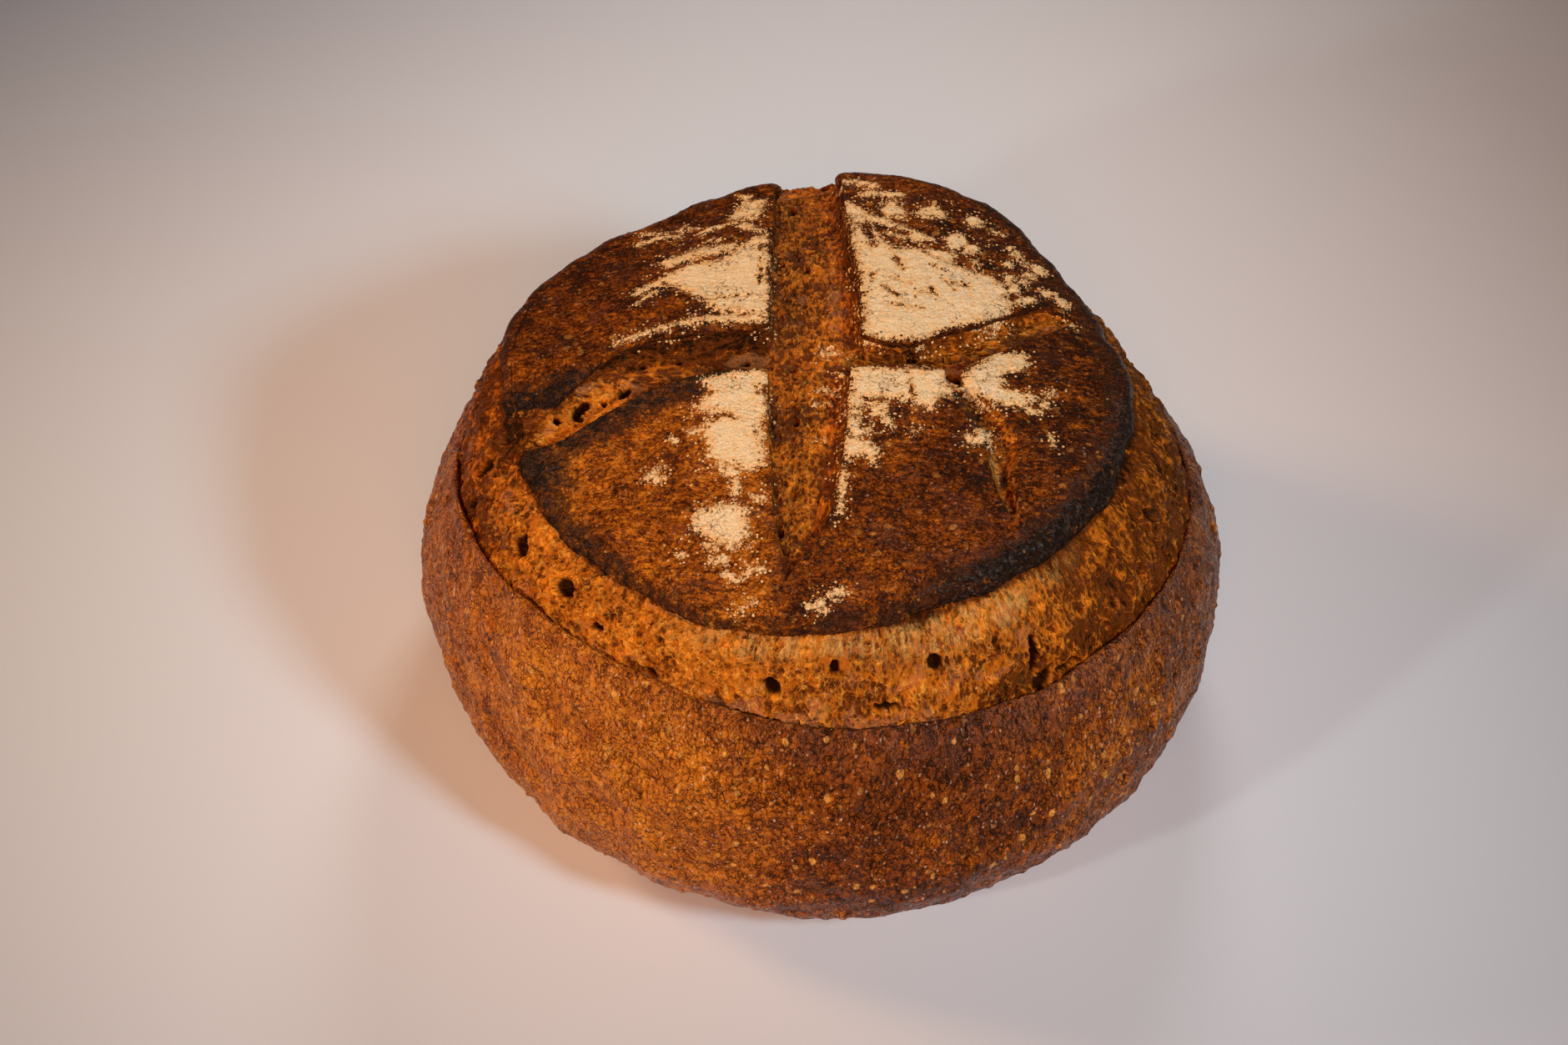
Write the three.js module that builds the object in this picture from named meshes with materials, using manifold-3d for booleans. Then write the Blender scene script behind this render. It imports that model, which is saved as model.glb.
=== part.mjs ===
// A round sourdough loaf, baked whole: one solid of bread.
// Millimetres, +Z up. The loaf stands on z = 0 with its girth centred on the origin, and -Y is its front.
//
// From the base up its outline is a flat foot, a bulging wall, the thin lip where a round cut was made,
// the torn band that opened above that cut, and the round lid of crust that the rise pushed up.
// Two crossing cuts part the lid into four plates, and one plate has a short tear.

import * as THREE from 'three';
import * as BufferGeometryUtils from 'three/addons/utils/BufferGeometryUtils.js';
import Module from 'manifold-3d';

// ---- driving dimensions --------------------------------------------------------------------------

// A ring that isn't quite round or level is a mean size and a few slow waves round the loaf:
// each wave has its number of crests, its height, and the bearing of one crest in degrees from +X.
const BELLY_RADIUS = { mean: 114.6, waves: [
  { crests: 2, height: 0.8, at: -33 },
  { crests: 3, height: 2.3, at: 32 },
] };
const LIP_RADIUS = { mean: 102.9, waves: [
  { crests: 2, height: 0.7, at: -28 },
  { crests: 3, height: 0.5, at: -34 },
] };
const LIP_HEIGHT = { mean: 81.4, waves: [
  { crests: 1, height: 6.3, at: 228 },
  { crests: 2, height: 1.8, at: 75 },
  { crests: 3, height: 4.2, at: -23 },
] };
const RIM_RADIUS = { mean: 87, waves: [
  { crests: 1, height: 3.2, at: 176 },
  { crests: 2, height: 1.5, at: 111 },
  { crests: 4, height: 1.7, at: -22 },
] };
const RIM_HEIGHT = { mean: 107.5, waves: [
  { crests: 1, height: 2.6, at: 57 },
  { crests: 3, height: 1.9, at: 71 },
  { crests: 4, height: 1.2, at: -15 },
] };
const RIM_WALL = { mean: 3.8, waves: [
  { crests: 1, height: 2.2, at: -20 },
] };

const FOOT_RADIUS = 82;
const BELLY_HEIGHT = 36;
const UNDERSIDE_POWER = 1.85; // 2 is a true ellipse from foot to belly
const SHOULDER_POWER = 2.1; // how late the wall leans in from belly to lip

const LIP_THICKNESS = 2.2;
const CREASE_DEPTH = 3; // the torn band starts this far below the lip
const BAND_BULGE = 2.5; // how far the torn band swells past a straight slope
const RIM_OVERHANG = 2.5; // how far the lid's edge stands out over the band
const RIM_ROUNDING = 5; // plan width in which the rim turns into the lid's top

const LOAF_HEIGHT = 122;
const CROWN = { x: 0, y: 5 };
const LID_POWER = 2.2; // 2 is a parabola from crown to rim

const COLUMNS = 90;
const UNDERSIDE_ROWS = 7;
const WALL_ROWS = 6;
const BAND_ROWS = 5;
const RIM_ROWS = 3;
const LID_ROWS = 10;

// Each cut in the lid: points along its middle with the half-width there, its depth, and the share
// of the half-width that its left and right walls take up, seen along its path.
const CUTS = [
  {
    path: [
      [-4, 98, 10], [-4, 62, 11.5], [-3.5, 28, 12.5], [-4, -4, 12.5],
      [-5.5, -36, 10], [-8, -60, 6], [-11, -78, 0.6],
    ],
    depth: [7, 6.5, 6.5, 7, 6.5, 4.5, 1],
    walls: { left: 0.5, right: 0.16 },
  },
  {
    path: [
      [-6, 3.5, 9.5], [-32, 3, 10], [-52, -0.5, 10.5], [-66, -9.5, 10.5],
      [-80, -16, 9], [-94, -21, 10],
    ],
    depth: [5, 6.5, 7, 7, 7, 8],
    walls: { left: 0.3, right: 0.3 },
  },
  {
    path: [
      [-3, 1, 6.5], [16, 0, 5.5], [31, 1, 8], [46, 10.5, 7.5],
      [60, 18.5, 5.5], [72, 22.5, 0.6],
    ],
    depth: [5, 6, 7, 5, 4, 1],
    walls: { left: 0.4, right: 0.35 },
  },
  {
    path: [[32, -5, 4], [39, -18, 3], [45, -33, 3.2], [47, -52, 1]],
    depth: [6, 2.5, 3, 1],
    walls: { left: 0.5, right: 0.5 },
  },
];
const CUT_STATIONS = 16;
const CUT_CEILING = LOAF_HEIGHT + 12; // above everything that a cut opens
const CUT_LIP = 0.12; // share of the depth that drops straight at a cut's edges

const CRUST = { color: 0x6e3216, roughness: 0.55, metalness: 0 };

// ---- rings ---------------------------------------------------------------------------------------

function around(ring, angle) {
  let size = ring.mean;
  for (const wave of ring.waves) {
    const phase = angle - THREE.MathUtils.degToRad(wave.at);
    size += wave.height * Math.cos(wave.crests * phase);
  }
  return size;
}

// Height of the lid's smooth top at a place in plan; past the rim it keeps the rim's height.
function lidHeight(x, y) {
  const angle = Math.atan2(y, x);
  const radius = around(RIM_RADIUS, angle);
  const edge = around(RIM_HEIGHT, angle) + around(RIM_WALL, angle);
  const inward = 1 - Math.min(Math.hypot(x, y) / radius, 1);
  const reach = Math.hypot(x - CROWN.x * inward, y - CROWN.y * inward) / radius;
  return LOAF_HEIGHT - (LOAF_HEIGHT - edge) * Math.min(reach, 1) ** LID_POWER;
}

// ---- outline of the loaf at one bearing, from the foot up to the last ring round the crown --------

function underside(angle) {
  const belly = around(BELLY_RADIUS, angle);
  const power = 2 / UNDERSIDE_POWER;
  return steps(UNDERSIDE_ROWS, (t) => {
    const turn = t * Math.PI / 2;
    return [
      FOOT_RADIUS + (belly - FOOT_RADIUS) * Math.sin(turn) ** power,
      BELLY_HEIGHT * (1 - Math.abs(Math.cos(turn)) ** power),
    ];
  });
}

function wall(angle) {
  const belly = around(BELLY_RADIUS, angle);
  const lip = around(LIP_RADIUS, angle);
  const rise = around(LIP_HEIGHT, angle) - BELLY_HEIGHT;
  return steps(WALL_ROWS, (t) => [
    belly - (belly - lip) * t ** SHOULDER_POWER,
    BELLY_HEIGHT + rise * t,
  ]).slice(1);
}

function band(angle) {
  const low = [
    around(LIP_RADIUS, angle) - LIP_THICKNESS,
    around(LIP_HEIGHT, angle) - CREASE_DEPTH,
  ];
  const high = [
    around(RIM_RADIUS, angle) - RIM_OVERHANG,
    around(RIM_HEIGHT, angle) + RIM_OVERHANG / 2,
  ];
  return steps(BAND_ROWS, (t) => {
    const swell = BAND_BULGE * Math.sin(t * Math.PI);
    return [
      low[0] + (high[0] - low[0]) * t + swell,
      low[1] + (high[1] - low[1]) * t + swell,
    ];
  });
}

// The rim's wall turns over in a quarter circle of steps and meets the lid's top.
function rim(angle) {
  const radius = around(RIM_RADIUS, angle);
  const foot = around(RIM_HEIGHT, angle);
  const inner = radius - RIM_ROUNDING;
  const top = lidHeight(inner * Math.cos(angle), inner * Math.sin(angle));
  return steps(RIM_ROWS, (t) => {
    const turn = t * Math.PI / 2;
    return [inner + RIM_ROUNDING * Math.cos(turn), foot + (top - foot) * Math.sin(turn)];
  });
}

function lid(angle) {
  const outer = around(RIM_RADIUS, angle) - RIM_ROUNDING;
  return steps(LID_ROWS, (t) => {
    const radius = outer * (1 - t);
    return [radius, lidHeight(radius * Math.cos(angle), radius * Math.sin(angle))];
  }).slice(1, -1);
}

function steps(count, point) {
  return Array.from({ length: count + 1 }, (_, i) => point(i / count));
}

// ---- closed meshes -------------------------------------------------------------------------------

// Triangles for a grid of rows of equal length; `closed` joins each row's end to its start.
function gridTriangles(first, rows, length, closed) {
  const triangles = [];
  const last = closed ? length : length - 1;
  for (let r = 0; r < rows - 1; r++) {
    for (let c = 0; c < last; c++) {
      const next = (c + 1) % length;
      const a = first + r * length + c;
      const b = first + r * length + next;
      const d = first + (r + 1) * length + c;
      const e = first + (r + 1) * length + next;
      triangles.push(a, b, e, a, e, d);
    }
  }
  return triangles;
}

function fanTriangles(ringStart, length, pole, upward) {
  const triangles = [];
  for (let c = 0; c < length; c++) {
    const a = ringStart + c;
    const b = ringStart + (c + 1) % length;
    triangles.push(...(upward ? [a, b, pole] : [b, a, pole]));
  }
  return triangles;
}

function geometryOf(points, triangles) {
  const geometry = new THREE.BufferGeometry();
  geometry.setAttribute('position', new THREE.Float32BufferAttribute(points, 3));
  geometry.setIndex(triangles);
  return geometry;
}

function uncutLoaf() {
  const outlines = Array.from({ length: COLUMNS }, (_, c) => {
    const angle = c / COLUMNS * 2 * Math.PI;
    const outline = [...underside(angle), ...wall(angle), ...band(angle), ...rim(angle), ...lid(angle)];
    return outline.map(([radius, z]) => [radius * Math.cos(angle), radius * Math.sin(angle), z]);
  });
  const rows = outlines[0].length;
  const points = [];
  for (let r = 0; r < rows; r++) {
    for (const outline of outlines) points.push(...outline[r]);
  }
  const basePole = rows * COLUMNS;
  points.push(0, 0, 0);
  points.push(0, 0, lidHeight(0, 0));
  return geometryOf(points, [
    ...fanTriangles(0, COLUMNS, basePole, false),
    ...gridTriangles(0, rows, COLUMNS, true),
    ...fanTriangles((rows - 1) * COLUMNS, COLUMNS, basePole + 1, true),
  ]);
}

// ---- cuts ----------------------------------------------------------------------------------------

function sampleList(values, t) {
  const place = t * (values.length - 1);
  const i = Math.min(Math.floor(place), values.length - 2);
  return THREE.MathUtils.lerp(values[i], values[i + 1], place - i);
}

// Depth across a cut, as a share of the full depth: `side` runs from -1 at the left edge to 1.
function cutShare(side, walls) {
  const width = side < 0 ? walls.left : walls.right;
  const inside = Math.min((1 - Math.abs(side)) / width, 1);
  return CUT_LIP + (1 - CUT_LIP) * Math.sin(inside * Math.PI / 2);
}

// The space that a cut opens: its floor follows the lid, and it reaches up past the crown.
function cutSpace(cut) {
  const middle = new THREE.CatmullRomCurve3(cut.path.map(([x, y]) => new THREE.Vector3(x, y, 0)));
  const halfWidths = cut.path.map((point) => point[2]);
  const sides = [
    1, 1 - cut.walls.right / 2, 1 - cut.walls.right,
    -1 + cut.walls.left, -1 + cut.walls.left / 2, -1,
  ];
  const points = [];
  for (let s = 0; s <= CUT_STATIONS; s++) {
    const t = s / CUT_STATIONS;
    const centre = middle.getPoint(t);
    const along = middle.getTangent(t);
    const half = sampleList(halfWidths, t);
    const depth = sampleList(cut.depth, t);
    const floor = sides.map((side) => {
      const x = centre.x + along.y * side * half;
      const y = centre.y - along.x * side * half;
      return [x, y, lidHeight(x, y) - depth * cutShare(side, cut.walls)];
    });
    const [start, end] = [floor[0], floor[floor.length - 1]];
    const section = [...floor, [end[0], end[1], CUT_CEILING], [start[0], start[1], CUT_CEILING]];
    points.push(...section.flat());
  }
  const length = sides.length + 2;
  const triangles = gridTriangles(0, CUT_STATIONS + 1, length, true);
  const lastRow = CUT_STATIONS * length;
  for (let c = 1; c < length - 1; c++) {
    triangles.push(0, c + 1, c);
    triangles.push(lastRow, lastRow + c, lastRow + c + 1);
  }
  return geometryOf(points, triangles);
}

// ---- solids --------------------------------------------------------------------------------------

const wasm = await Module();
wasm.setup();

function solidOf(geometry) {
  const merged = BufferGeometryUtils.mergeVertices(geometry);
  return new wasm.Manifold(new wasm.Mesh({
    numProp: 3,
    vertProperties: new Float32Array(merged.attributes.position.array),
    triVerts: new Uint32Array(merged.index.array),
  }));
}

function geometryOfSolid(solid) {
  const { vertProperties, triVerts } = solid.getMesh();
  return geometryOf(Array.from(vertProperties), Array.from(triVerts));
}

function centreInPlan(geometry) {
  geometry.computeBoundingBox();
  const middle = geometry.boundingBox.getCenter(new THREE.Vector3());
  return geometry.translate(-middle.x, -middle.y, 0);
}

function makeLoaf() {
  let loaf = solidOf(uncutLoaf());
  for (const cut of CUTS) loaf = loaf.subtract(solidOf(cutSpace(cut)));
  const geometry = centreInPlan(geometryOfSolid(loaf));
  geometry.computeVertexNormals();
  const mesh = new THREE.Mesh(geometry, new THREE.MeshStandardMaterial(CRUST));
  mesh.name = 'loaf';
  return mesh;
}

const part = new THREE.Group();
part.add(makeLoaf());

export default part;
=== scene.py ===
# %% [markdown]
# # A dark, round sourdough loaf
#
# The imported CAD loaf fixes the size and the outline. These cells give it its looks: a fine-blistered
# crust, a torn band of open crumb above a round cut, a lid of four plates with crossing cuts, and flour.
# Every surface is made in the same three steps. A plain grid is laid on the loaf's outline, a Geometry
# Nodes relief raises it as the oven did, and a material reads what the first two steps stored on it.

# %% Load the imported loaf
import math

import bpy
import numpy as np
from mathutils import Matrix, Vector
from mathutils.geometry import tessellate_polygon


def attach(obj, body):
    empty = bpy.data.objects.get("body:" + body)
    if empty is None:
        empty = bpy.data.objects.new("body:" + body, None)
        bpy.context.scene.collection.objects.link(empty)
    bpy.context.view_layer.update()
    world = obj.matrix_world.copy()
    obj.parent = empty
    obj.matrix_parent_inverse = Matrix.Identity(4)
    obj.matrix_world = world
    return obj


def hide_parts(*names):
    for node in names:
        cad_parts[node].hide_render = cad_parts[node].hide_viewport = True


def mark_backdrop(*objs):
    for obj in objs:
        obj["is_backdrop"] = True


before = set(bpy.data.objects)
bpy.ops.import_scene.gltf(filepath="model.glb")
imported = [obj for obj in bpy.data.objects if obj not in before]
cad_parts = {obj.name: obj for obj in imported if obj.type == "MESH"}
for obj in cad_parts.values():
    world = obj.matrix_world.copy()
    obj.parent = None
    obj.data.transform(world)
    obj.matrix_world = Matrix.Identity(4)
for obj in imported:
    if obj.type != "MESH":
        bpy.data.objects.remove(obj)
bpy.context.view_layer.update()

MM = 0.001

# %% [markdown]
# ## The loaf's outline
#
# Seen from above a loaf is almost round, and none of its rings is level. Each ring is therefore a mean
# size with a few slow waves round the loaf: how many crests, how high in millimetres, and the bearing of
# one crest in degrees. These are the CAD loaf's own rings, so the looks fit it with no moving about.

# %% Rings
BELLY_RADIUS = (114.6, [(2, 0.8, -33), (3, 2.3, 32)])
LIP_RADIUS = (102.9, [(2, 0.7, -28), (3, 0.5, -34)])
LIP_HEIGHT = (81.4, [(1, 6.3, 228), (2, 1.8, 75), (3, 4.2, -23)])
RIM_RADIUS = (87.0, [(1, 3.2, 176), (2, 1.5, 111), (4, 1.7, -22)])
RIM_HEIGHT = (107.5, [(1, 2.6, 57), (3, 1.9, 71), (4, 1.2, -15)])
RIM_WALL = (3.8, [(1, 2.2, -20)])

FOOT_RADIUS = 82.0
BELLY_HEIGHT = 36.0
UNDERSIDE_POWER = 1.85
SHOULDER_POWER = 2.1
BAND_BULGE = 2.5
RIM_OVERHANG = 2.5
RIM_ROUNDING = 5.0
LOAF_HEIGHT = 122.0
CROWN_Y = 5.0
LID_POWER = 2.2
CAD_COLUMNS = 90


def around(ring, angle):
    """The size of a ring at one or many angles, in millimetres."""
    mean, waves = ring
    return mean + sum(h * np.cos(n * (angle - math.radians(at))) for n, h, at in waves)


def lid_height(x, y):
    """Height of the lid's smooth top over a place in plan."""
    angle = np.arctan2(y, x)
    radius = around(RIM_RADIUS, angle)
    edge = around(RIM_HEIGHT, angle) + around(RIM_WALL, angle)
    inward = 1 - np.minimum(np.hypot(x, y) / radius, 1)
    reach = np.minimum(np.hypot(x, y - CROWN_Y * inward) / radius, 1)
    return LOAF_HEIGHT - (LOAF_HEIGHT - edge) * reach ** LID_POWER


def plan_centre():
    """Middle of the belly ring's box: the CAD loaf is centred on it."""
    angle = np.arange(CAD_COLUMNS) / CAD_COLUMNS * 2 * np.pi
    radius = around(BELLY_RADIUS, angle)
    places = np.stack([radius * np.cos(angle), radius * np.sin(angle)])
    return (places.min(1) + places.max(1)) / 2


CENTRE = np.array([*plan_centre(), 0])
print("belly centre in plan, mm:", CENTRE.round(3))

# %% [markdown]
# ## Meshes from arrays
#
# A grid of a hundred thousand points is slow to build vertex by vertex, so points, faces and the values
# that the relief and the materials read are handed over as whole arrays. Every piece is made in
# millimetres round the loaf's middle and turned into metres here, once.

# %% A mesh from arrays
def placed(name, data):
    """A new object in the scene, at the origin."""
    thing = bpy.data.objects.new(name, data)
    bpy.context.scene.collection.objects.link(thing)
    return thing


def mesh_piece(name, points, face_sets, fields):
    """A smooth-shaded object. `face_sets` are arrays of corners, `fields` the values kept at each point."""
    mesh = bpy.data.meshes.new(name)
    corners = np.concatenate([faces.ravel() for faces in face_sets]).astype(np.int32)
    sizes = np.concatenate([np.full(len(faces), faces.shape[1]) for faces in face_sets])
    starts = np.concatenate([[0], np.cumsum(sizes)[:-1]]).astype(np.int32)
    mesh.vertices.add(len(points))
    mesh.vertices.foreach_set("co", ((points - CENTRE) * MM).astype(np.float32).ravel())
    mesh.loops.add(len(corners))
    mesh.loops.foreach_set("vertex_index", corners)
    mesh.polygons.add(len(sizes))
    mesh.polygons.foreach_set("loop_start", starts)
    mesh.polygons.foreach_set("use_smooth", np.ones(len(sizes), bool))
    for field, values in fields.items():
        values = np.asarray(values, np.float32)
        kind = ("FLOAT", "value") if values.ndim == 1 else ("FLOAT_VECTOR", "vector")
        mesh.attributes.new(field, kind[0], "POINT").data.foreach_set(kind[1], values.ravel())
    mesh.update(calc_edges=True)
    mesh.validate()
    print(f"{name}: {len(points)} points, {len(sizes)} faces")
    return placed(name, mesh)


def ring_faces(rows, columns):
    """Quads between rows that run counter-clockwise round the loaf, the lowest first."""
    row, column = np.meshgrid(np.arange(rows - 1), np.arange(columns), indexing="ij")
    following = (column + 1) % columns
    low, high = row * columns, (row + 1) * columns
    return np.stack([low + column, low + following, high + following, high + column], -1).reshape(-1, 4)


def fan_faces(start, columns, pole, upward):
    """Triangles from one ring to a pole."""
    column = np.arange(columns)
    here, following = start + column, start + (column + 1) % columns
    pair = [here, following] if upward else [following, here]
    return np.stack([*pair, np.full(columns, pole)], -1)


def with_hidden(count, fields, **hidden):
    """Adds the values of `count` hidden points to each field: 0, unless `hidden` gives another."""
    padded = {}
    for name, values in fields.items():
        extra = np.full((count, *values.shape[1:]), hidden.get(name, 0.0))
        padded[name] = np.concatenate([values, extra])
    return padded


# %% Steps and bearings
def smooth(low, high, value):
    """0 below `low`, 1 above `high`, and a soft step between. It falls where `low` is the larger."""
    t = np.clip((value - low) / (high - low), 0, 1)
    return t * t * (3 - 2 * t)


def bearing_of(points):
    """Degrees from +X, counter-clockwise, in 0 to 360."""
    return np.degrees(np.arctan2(points[:, 1], points[:, 0])) % 360


def turn_from(bearings, middle):
    """Degrees from one bearing to others, the short way round: -180 to 180."""
    return (bearings - middle + 180) % 360 - 180


def facing(bearings, middle, near, far):
    """1 within `near` degrees of a bearing, 0 beyond `far` degrees."""
    return smooth(far, near, np.abs(turn_from(bearings, middle)))


def unrolled(bearing, radius, height):
    """A place on the loaf's side for patterns: round a cylinder of one radius, so they keep their size."""
    angle = np.radians(bearing)
    return np.stack([np.cos(angle) * radius, np.sin(angle) * radius, height], -1)


# %% [markdown]
# ## Writing node trees as formulas
#
# Relief and colour are sums of noises, and a sum is easier to read as a formula than as twenty nodes.
# `Wire` holds a node's output, and arithmetic on it adds Math nodes. The same few helpers write Geometry
# Nodes trees and shader trees, because both have the Math, Noise and Voronoi nodes.

# %% Node helpers
def plug(tree, value, port):
    """Links a wire to a port, or sets the port's own value."""
    if isinstance(value, Wire):
        tree.links.new(value.socket, port)
    else:
        port.default_value = value


class Wire:
    """One output of a node."""

    def __init__(self, tree, socket):
        self.tree, self.socket = tree, socket

    def math(self, operation, *others):
        node = self.tree.nodes.new("ShaderNodeMath")
        node.operation = operation
        for port, value in zip(node.inputs, (self, *others)):
            plug(self.tree, value, port)
        return Wire(self.tree, node.outputs[0])

    def __add__(self, other):
        return self.math("ADD", other)

    def __sub__(self, other):
        return self.math("SUBTRACT", other)

    def __mul__(self, other):
        return self.math("MULTIPLY", other)

    def __truediv__(self, other):
        return self.math("DIVIDE", other)

    def __pow__(self, other):
        return self.math("POWER", other)

    def __rsub__(self, other):
        return self.math("MULTIPLY_ADD", -1.0, other)

    __radd__ = __add__

    def step(self, low, high):
        """A soft step from 0 to 1; it falls where `low` is the larger."""
        ports = {0: self, 1: low, 2: high, 3: 0.0, 4: 1.0}
        return add(self.tree, "ShaderNodeMapRange", ports, interpolation_type="SMOOTHSTEP")


def add(tree, kind, ports=None, out=0, **settings):
    """Adds a node with its settings and ports, and gives one of its outputs."""
    node = tree.nodes.new(kind)
    for setting, value in settings.items():
        setattr(node, setting, value)
    for port, value in (ports or {}).items():
        plug(tree, value, node.inputs[port])
    return Wire(tree, node.outputs[out])


def scale_for(tree, size):
    """The scale of a pattern whose blobs are `size` metres across; the size may be a wire."""
    if isinstance(size, float):
        return 1.0 / size
    return add(tree, "ShaderNodeMath", {0: 1.0, 1: 0.0}, operation="ADD") / size


def noise(tree, where, size, detail=2.0, roughness=0.5):
    """Soft noise from 0 to 1, whose blobs are about `size` metres across."""
    ports = {"Vector": where, "Scale": scale_for(tree, size), "Detail": detail, "Roughness": roughness}
    return add(tree, "ShaderNodeTexNoise", ports)


def wobble(tree, where, size, **settings):
    """Soft noise from -0.5 to 0.5."""
    return noise(tree, where, size, **settings) - 0.5


def cells(tree, where, size, feature="F1", out=0):
    """Distance to the nearest of scattered points, or to the wall between two, in cell sizes."""
    ports = {"Vector": where, "Scale": scale_for(tree, size)}
    return add(tree, "ShaderNodeTexVoronoi", ports, out=out, feature=feature)


def scattered(tree, where, size):
    """Scattered points: the distance to the nearest one, and a random number of its own."""
    near = cells(tree, where, size)
    colour = cells(tree, where, size, out=1)
    kind = "FunctionNodeSeparateColor" if tree.bl_idname == "GeometryNodeTree" else "ShaderNodeSeparateColor"
    return near, add(tree, kind, {0: colour})


def bowl(near, radius):
    """1 at a scattered point, falling to 0 at a radius like the inside of a bowl."""
    return (1.0 - (near / radius) ** 2.0).math("MAXIMUM", 0.0)


def scaled(tree, where, factors):
    """A vector with each axis multiplied."""
    return add(tree, "ShaderNodeVectorMath", {0: where, 1: factors}, operation="MULTIPLY")


def bent(tree, where, size, reach):
    """A vector pushed about by noise, so that straight patterns wander."""
    push = add(tree, "ShaderNodeTexNoise", {"Vector": where, "Scale": 1.0 / size, "Detail": 1.0}, out=1)
    centred = add(tree, "ShaderNodeVectorMath", {0: push, 1: (0.5, 0.5, 0.5)}, operation="SUBTRACT")
    offset = add(tree, "ShaderNodeVectorMath", {0: centred, "Scale": reach}, operation="SCALE")
    return add(tree, "ShaderNodeVectorMath", {0: where, 1: offset}, operation="ADD")


# %% Geometry trees with named inputs
def relief_tree(name, sizes):
    """An empty Geometry Nodes tree with a mesh, its sizes in millimetres and a finish as inputs."""
    tree = bpy.data.node_groups.new(name, "GeometryNodeTree")
    tree.is_modifier = True
    face = tree.interface
    face.new_socket("Mesh", in_out="INPUT", socket_type="NodeSocketGeometry")
    face.new_socket("Mesh", in_out="OUTPUT", socket_type="NodeSocketGeometry")
    for label, value in sizes.items():
        face.new_socket(label, in_out="INPUT", socket_type="NodeSocketFloat").default_value = value
    face.new_socket("Finish", in_out="INPUT", socket_type="NodeSocketMaterial")
    entry = tree.nodes.new("NodeGroupInput")
    ports = {socket.name: Wire(tree, socket) for socket in entry.outputs if socket.name}
    for label in sizes:
        ports[label] = ports[label] * MM
    return tree, ports


def kept(tree, field, vector=False):
    """A value that the mesh keeps at each point."""
    kind = "FLOAT_VECTOR" if vector else "FLOAT"
    return add(tree, "GeometryNodeInputNamedAttribute", {"Name": field}, data_type=kind)


def keep(tree, geometry, field, value):
    """Keeps a value at each point for the materials."""
    ports = {"Geometry": geometry, "Name": field, "Value": value}
    return add(tree, "GeometryNodeStoreNamedAttribute", ports, data_type="FLOAT", domain="POINT")


def raised(tree, geometry, height):
    """Moves every point along its normal."""
    normal = add(tree, "GeometryNodeInputNormal")
    offset = add(tree, "ShaderNodeVectorMath", {0: normal, "Scale": height}, operation="SCALE")
    return add(tree, "GeometryNodeSetPosition", {"Geometry": geometry, "Offset": offset})


def close_tree(tree, geometry, finish):
    """Ends a tree: instances made real, and the finish put on."""
    real = add(tree, "GeometryNodeRealizeInstances", {"Geometry": geometry})
    done = add(tree, "GeometryNodeSetMaterial", {"Geometry": real, "Material": finish})
    tree.links.new(done.socket, tree.nodes.new("NodeGroupOutput").inputs[0])
    return tree


def grow(piece, tree, finish, **sizes):
    """Runs a tree on a piece with its own sizes, and keeps the result as a plain mesh."""
    modifier = piece.modifiers.new(tree.name, "NODES")
    modifier.node_group = tree
    wanted = {name.replace("_", " "): value for name, value in sizes.items()}
    for item in tree.interface.items_tree:
        if item.in_out == "INPUT" and item.name in wanted:
            modifier[item.identifier] = float(wanted.pop(item.name))
        elif item.in_out == "INPUT" and item.name == "Finish":
            modifier[item.identifier] = finish
    assert not wanted, f"{tree.name} has no input called {sorted(wanted)}"
    evaluated = piece.evaluated_get(bpy.context.evaluated_depsgraph_get())
    mesh = bpy.data.meshes.new_from_object(evaluated)
    piece.modifiers.remove(modifier)
    piece.data = mesh
    piece.data.polygons.foreach_set("use_smooth", np.ones(len(mesh.polygons), bool))
    triangles = sum(len(face.vertices) - 2 for face in mesh.polygons)
    print(f"{piece.name}: {tree.name}, {triangles} triangles")
    return piece


# %% [markdown]
# ## Shader helpers
#
# An effect that several finishes share is a node group: it puts out colours, masks and heights only, and
# the Principled BSDF stays in each material.

# %% Shader groups and materials
SHEEN_TINT = (1.0, 0.72, 0.50, 1.0)


def shader_group(name, inputs, outputs):
    """An empty shader group. Each input is a number, a colour or a vector, told by its first value."""
    tree = bpy.data.node_groups.new(name, "ShaderNodeTree")
    for label, value in inputs.items():
        many = isinstance(value, tuple)
        kind = "NodeSocketFloat" if not many else "NodeSocketColor" if len(value) == 4 else "NodeSocketVector"
        tree.interface.new_socket(label, in_out="INPUT", socket_type=kind).default_value = value
    for label, kind in outputs.items():
        tree.interface.new_socket(label, in_out="OUTPUT", socket_type=kind)
    entry = tree.nodes.new("NodeGroupInput")
    ports = {socket.name: Wire(tree, socket) for socket in entry.outputs if socket.name}
    return tree, ports


def close_group(tree, results):
    """Links a group's results to its outputs."""
    leave = tree.nodes.new("NodeGroupOutput")
    for label, wire in results.items():
        tree.links.new(wire.socket, leave.inputs[label])
    return tree


def use(tree, group, **ports):
    """Places a group, and gives a function that picks one of its outputs."""
    node = tree.nodes.new("ShaderNodeGroup")
    node.node_tree = group
    for port, value in ports.items():
        plug(tree, value, node.inputs[port.replace("_", " ")])
    return lambda label: Wire(tree, node.outputs[label])


def mixed(tree, share, low, high):
    """Two colours mixed by a mask."""
    ports = {0: share, 6: low, 7: high}
    return add(tree, "ShaderNodeMix", ports, out=2, data_type="RGBA", clamp_factor=True)


def stored(tree, field):
    """A value that the mesh keeps, read by a material."""
    return add(tree, "ShaderNodeAttribute", out=2, attribute_name=field)


def stored_place(tree, field):
    """A vector that the mesh keeps, read by a material."""
    return add(tree, "ShaderNodeAttribute", out=1, attribute_name=field)


def object_place(tree):
    """The piece's own coordinates, which every pattern reads."""
    return add(tree, "ShaderNodeTexCoord", out=3)


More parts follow.
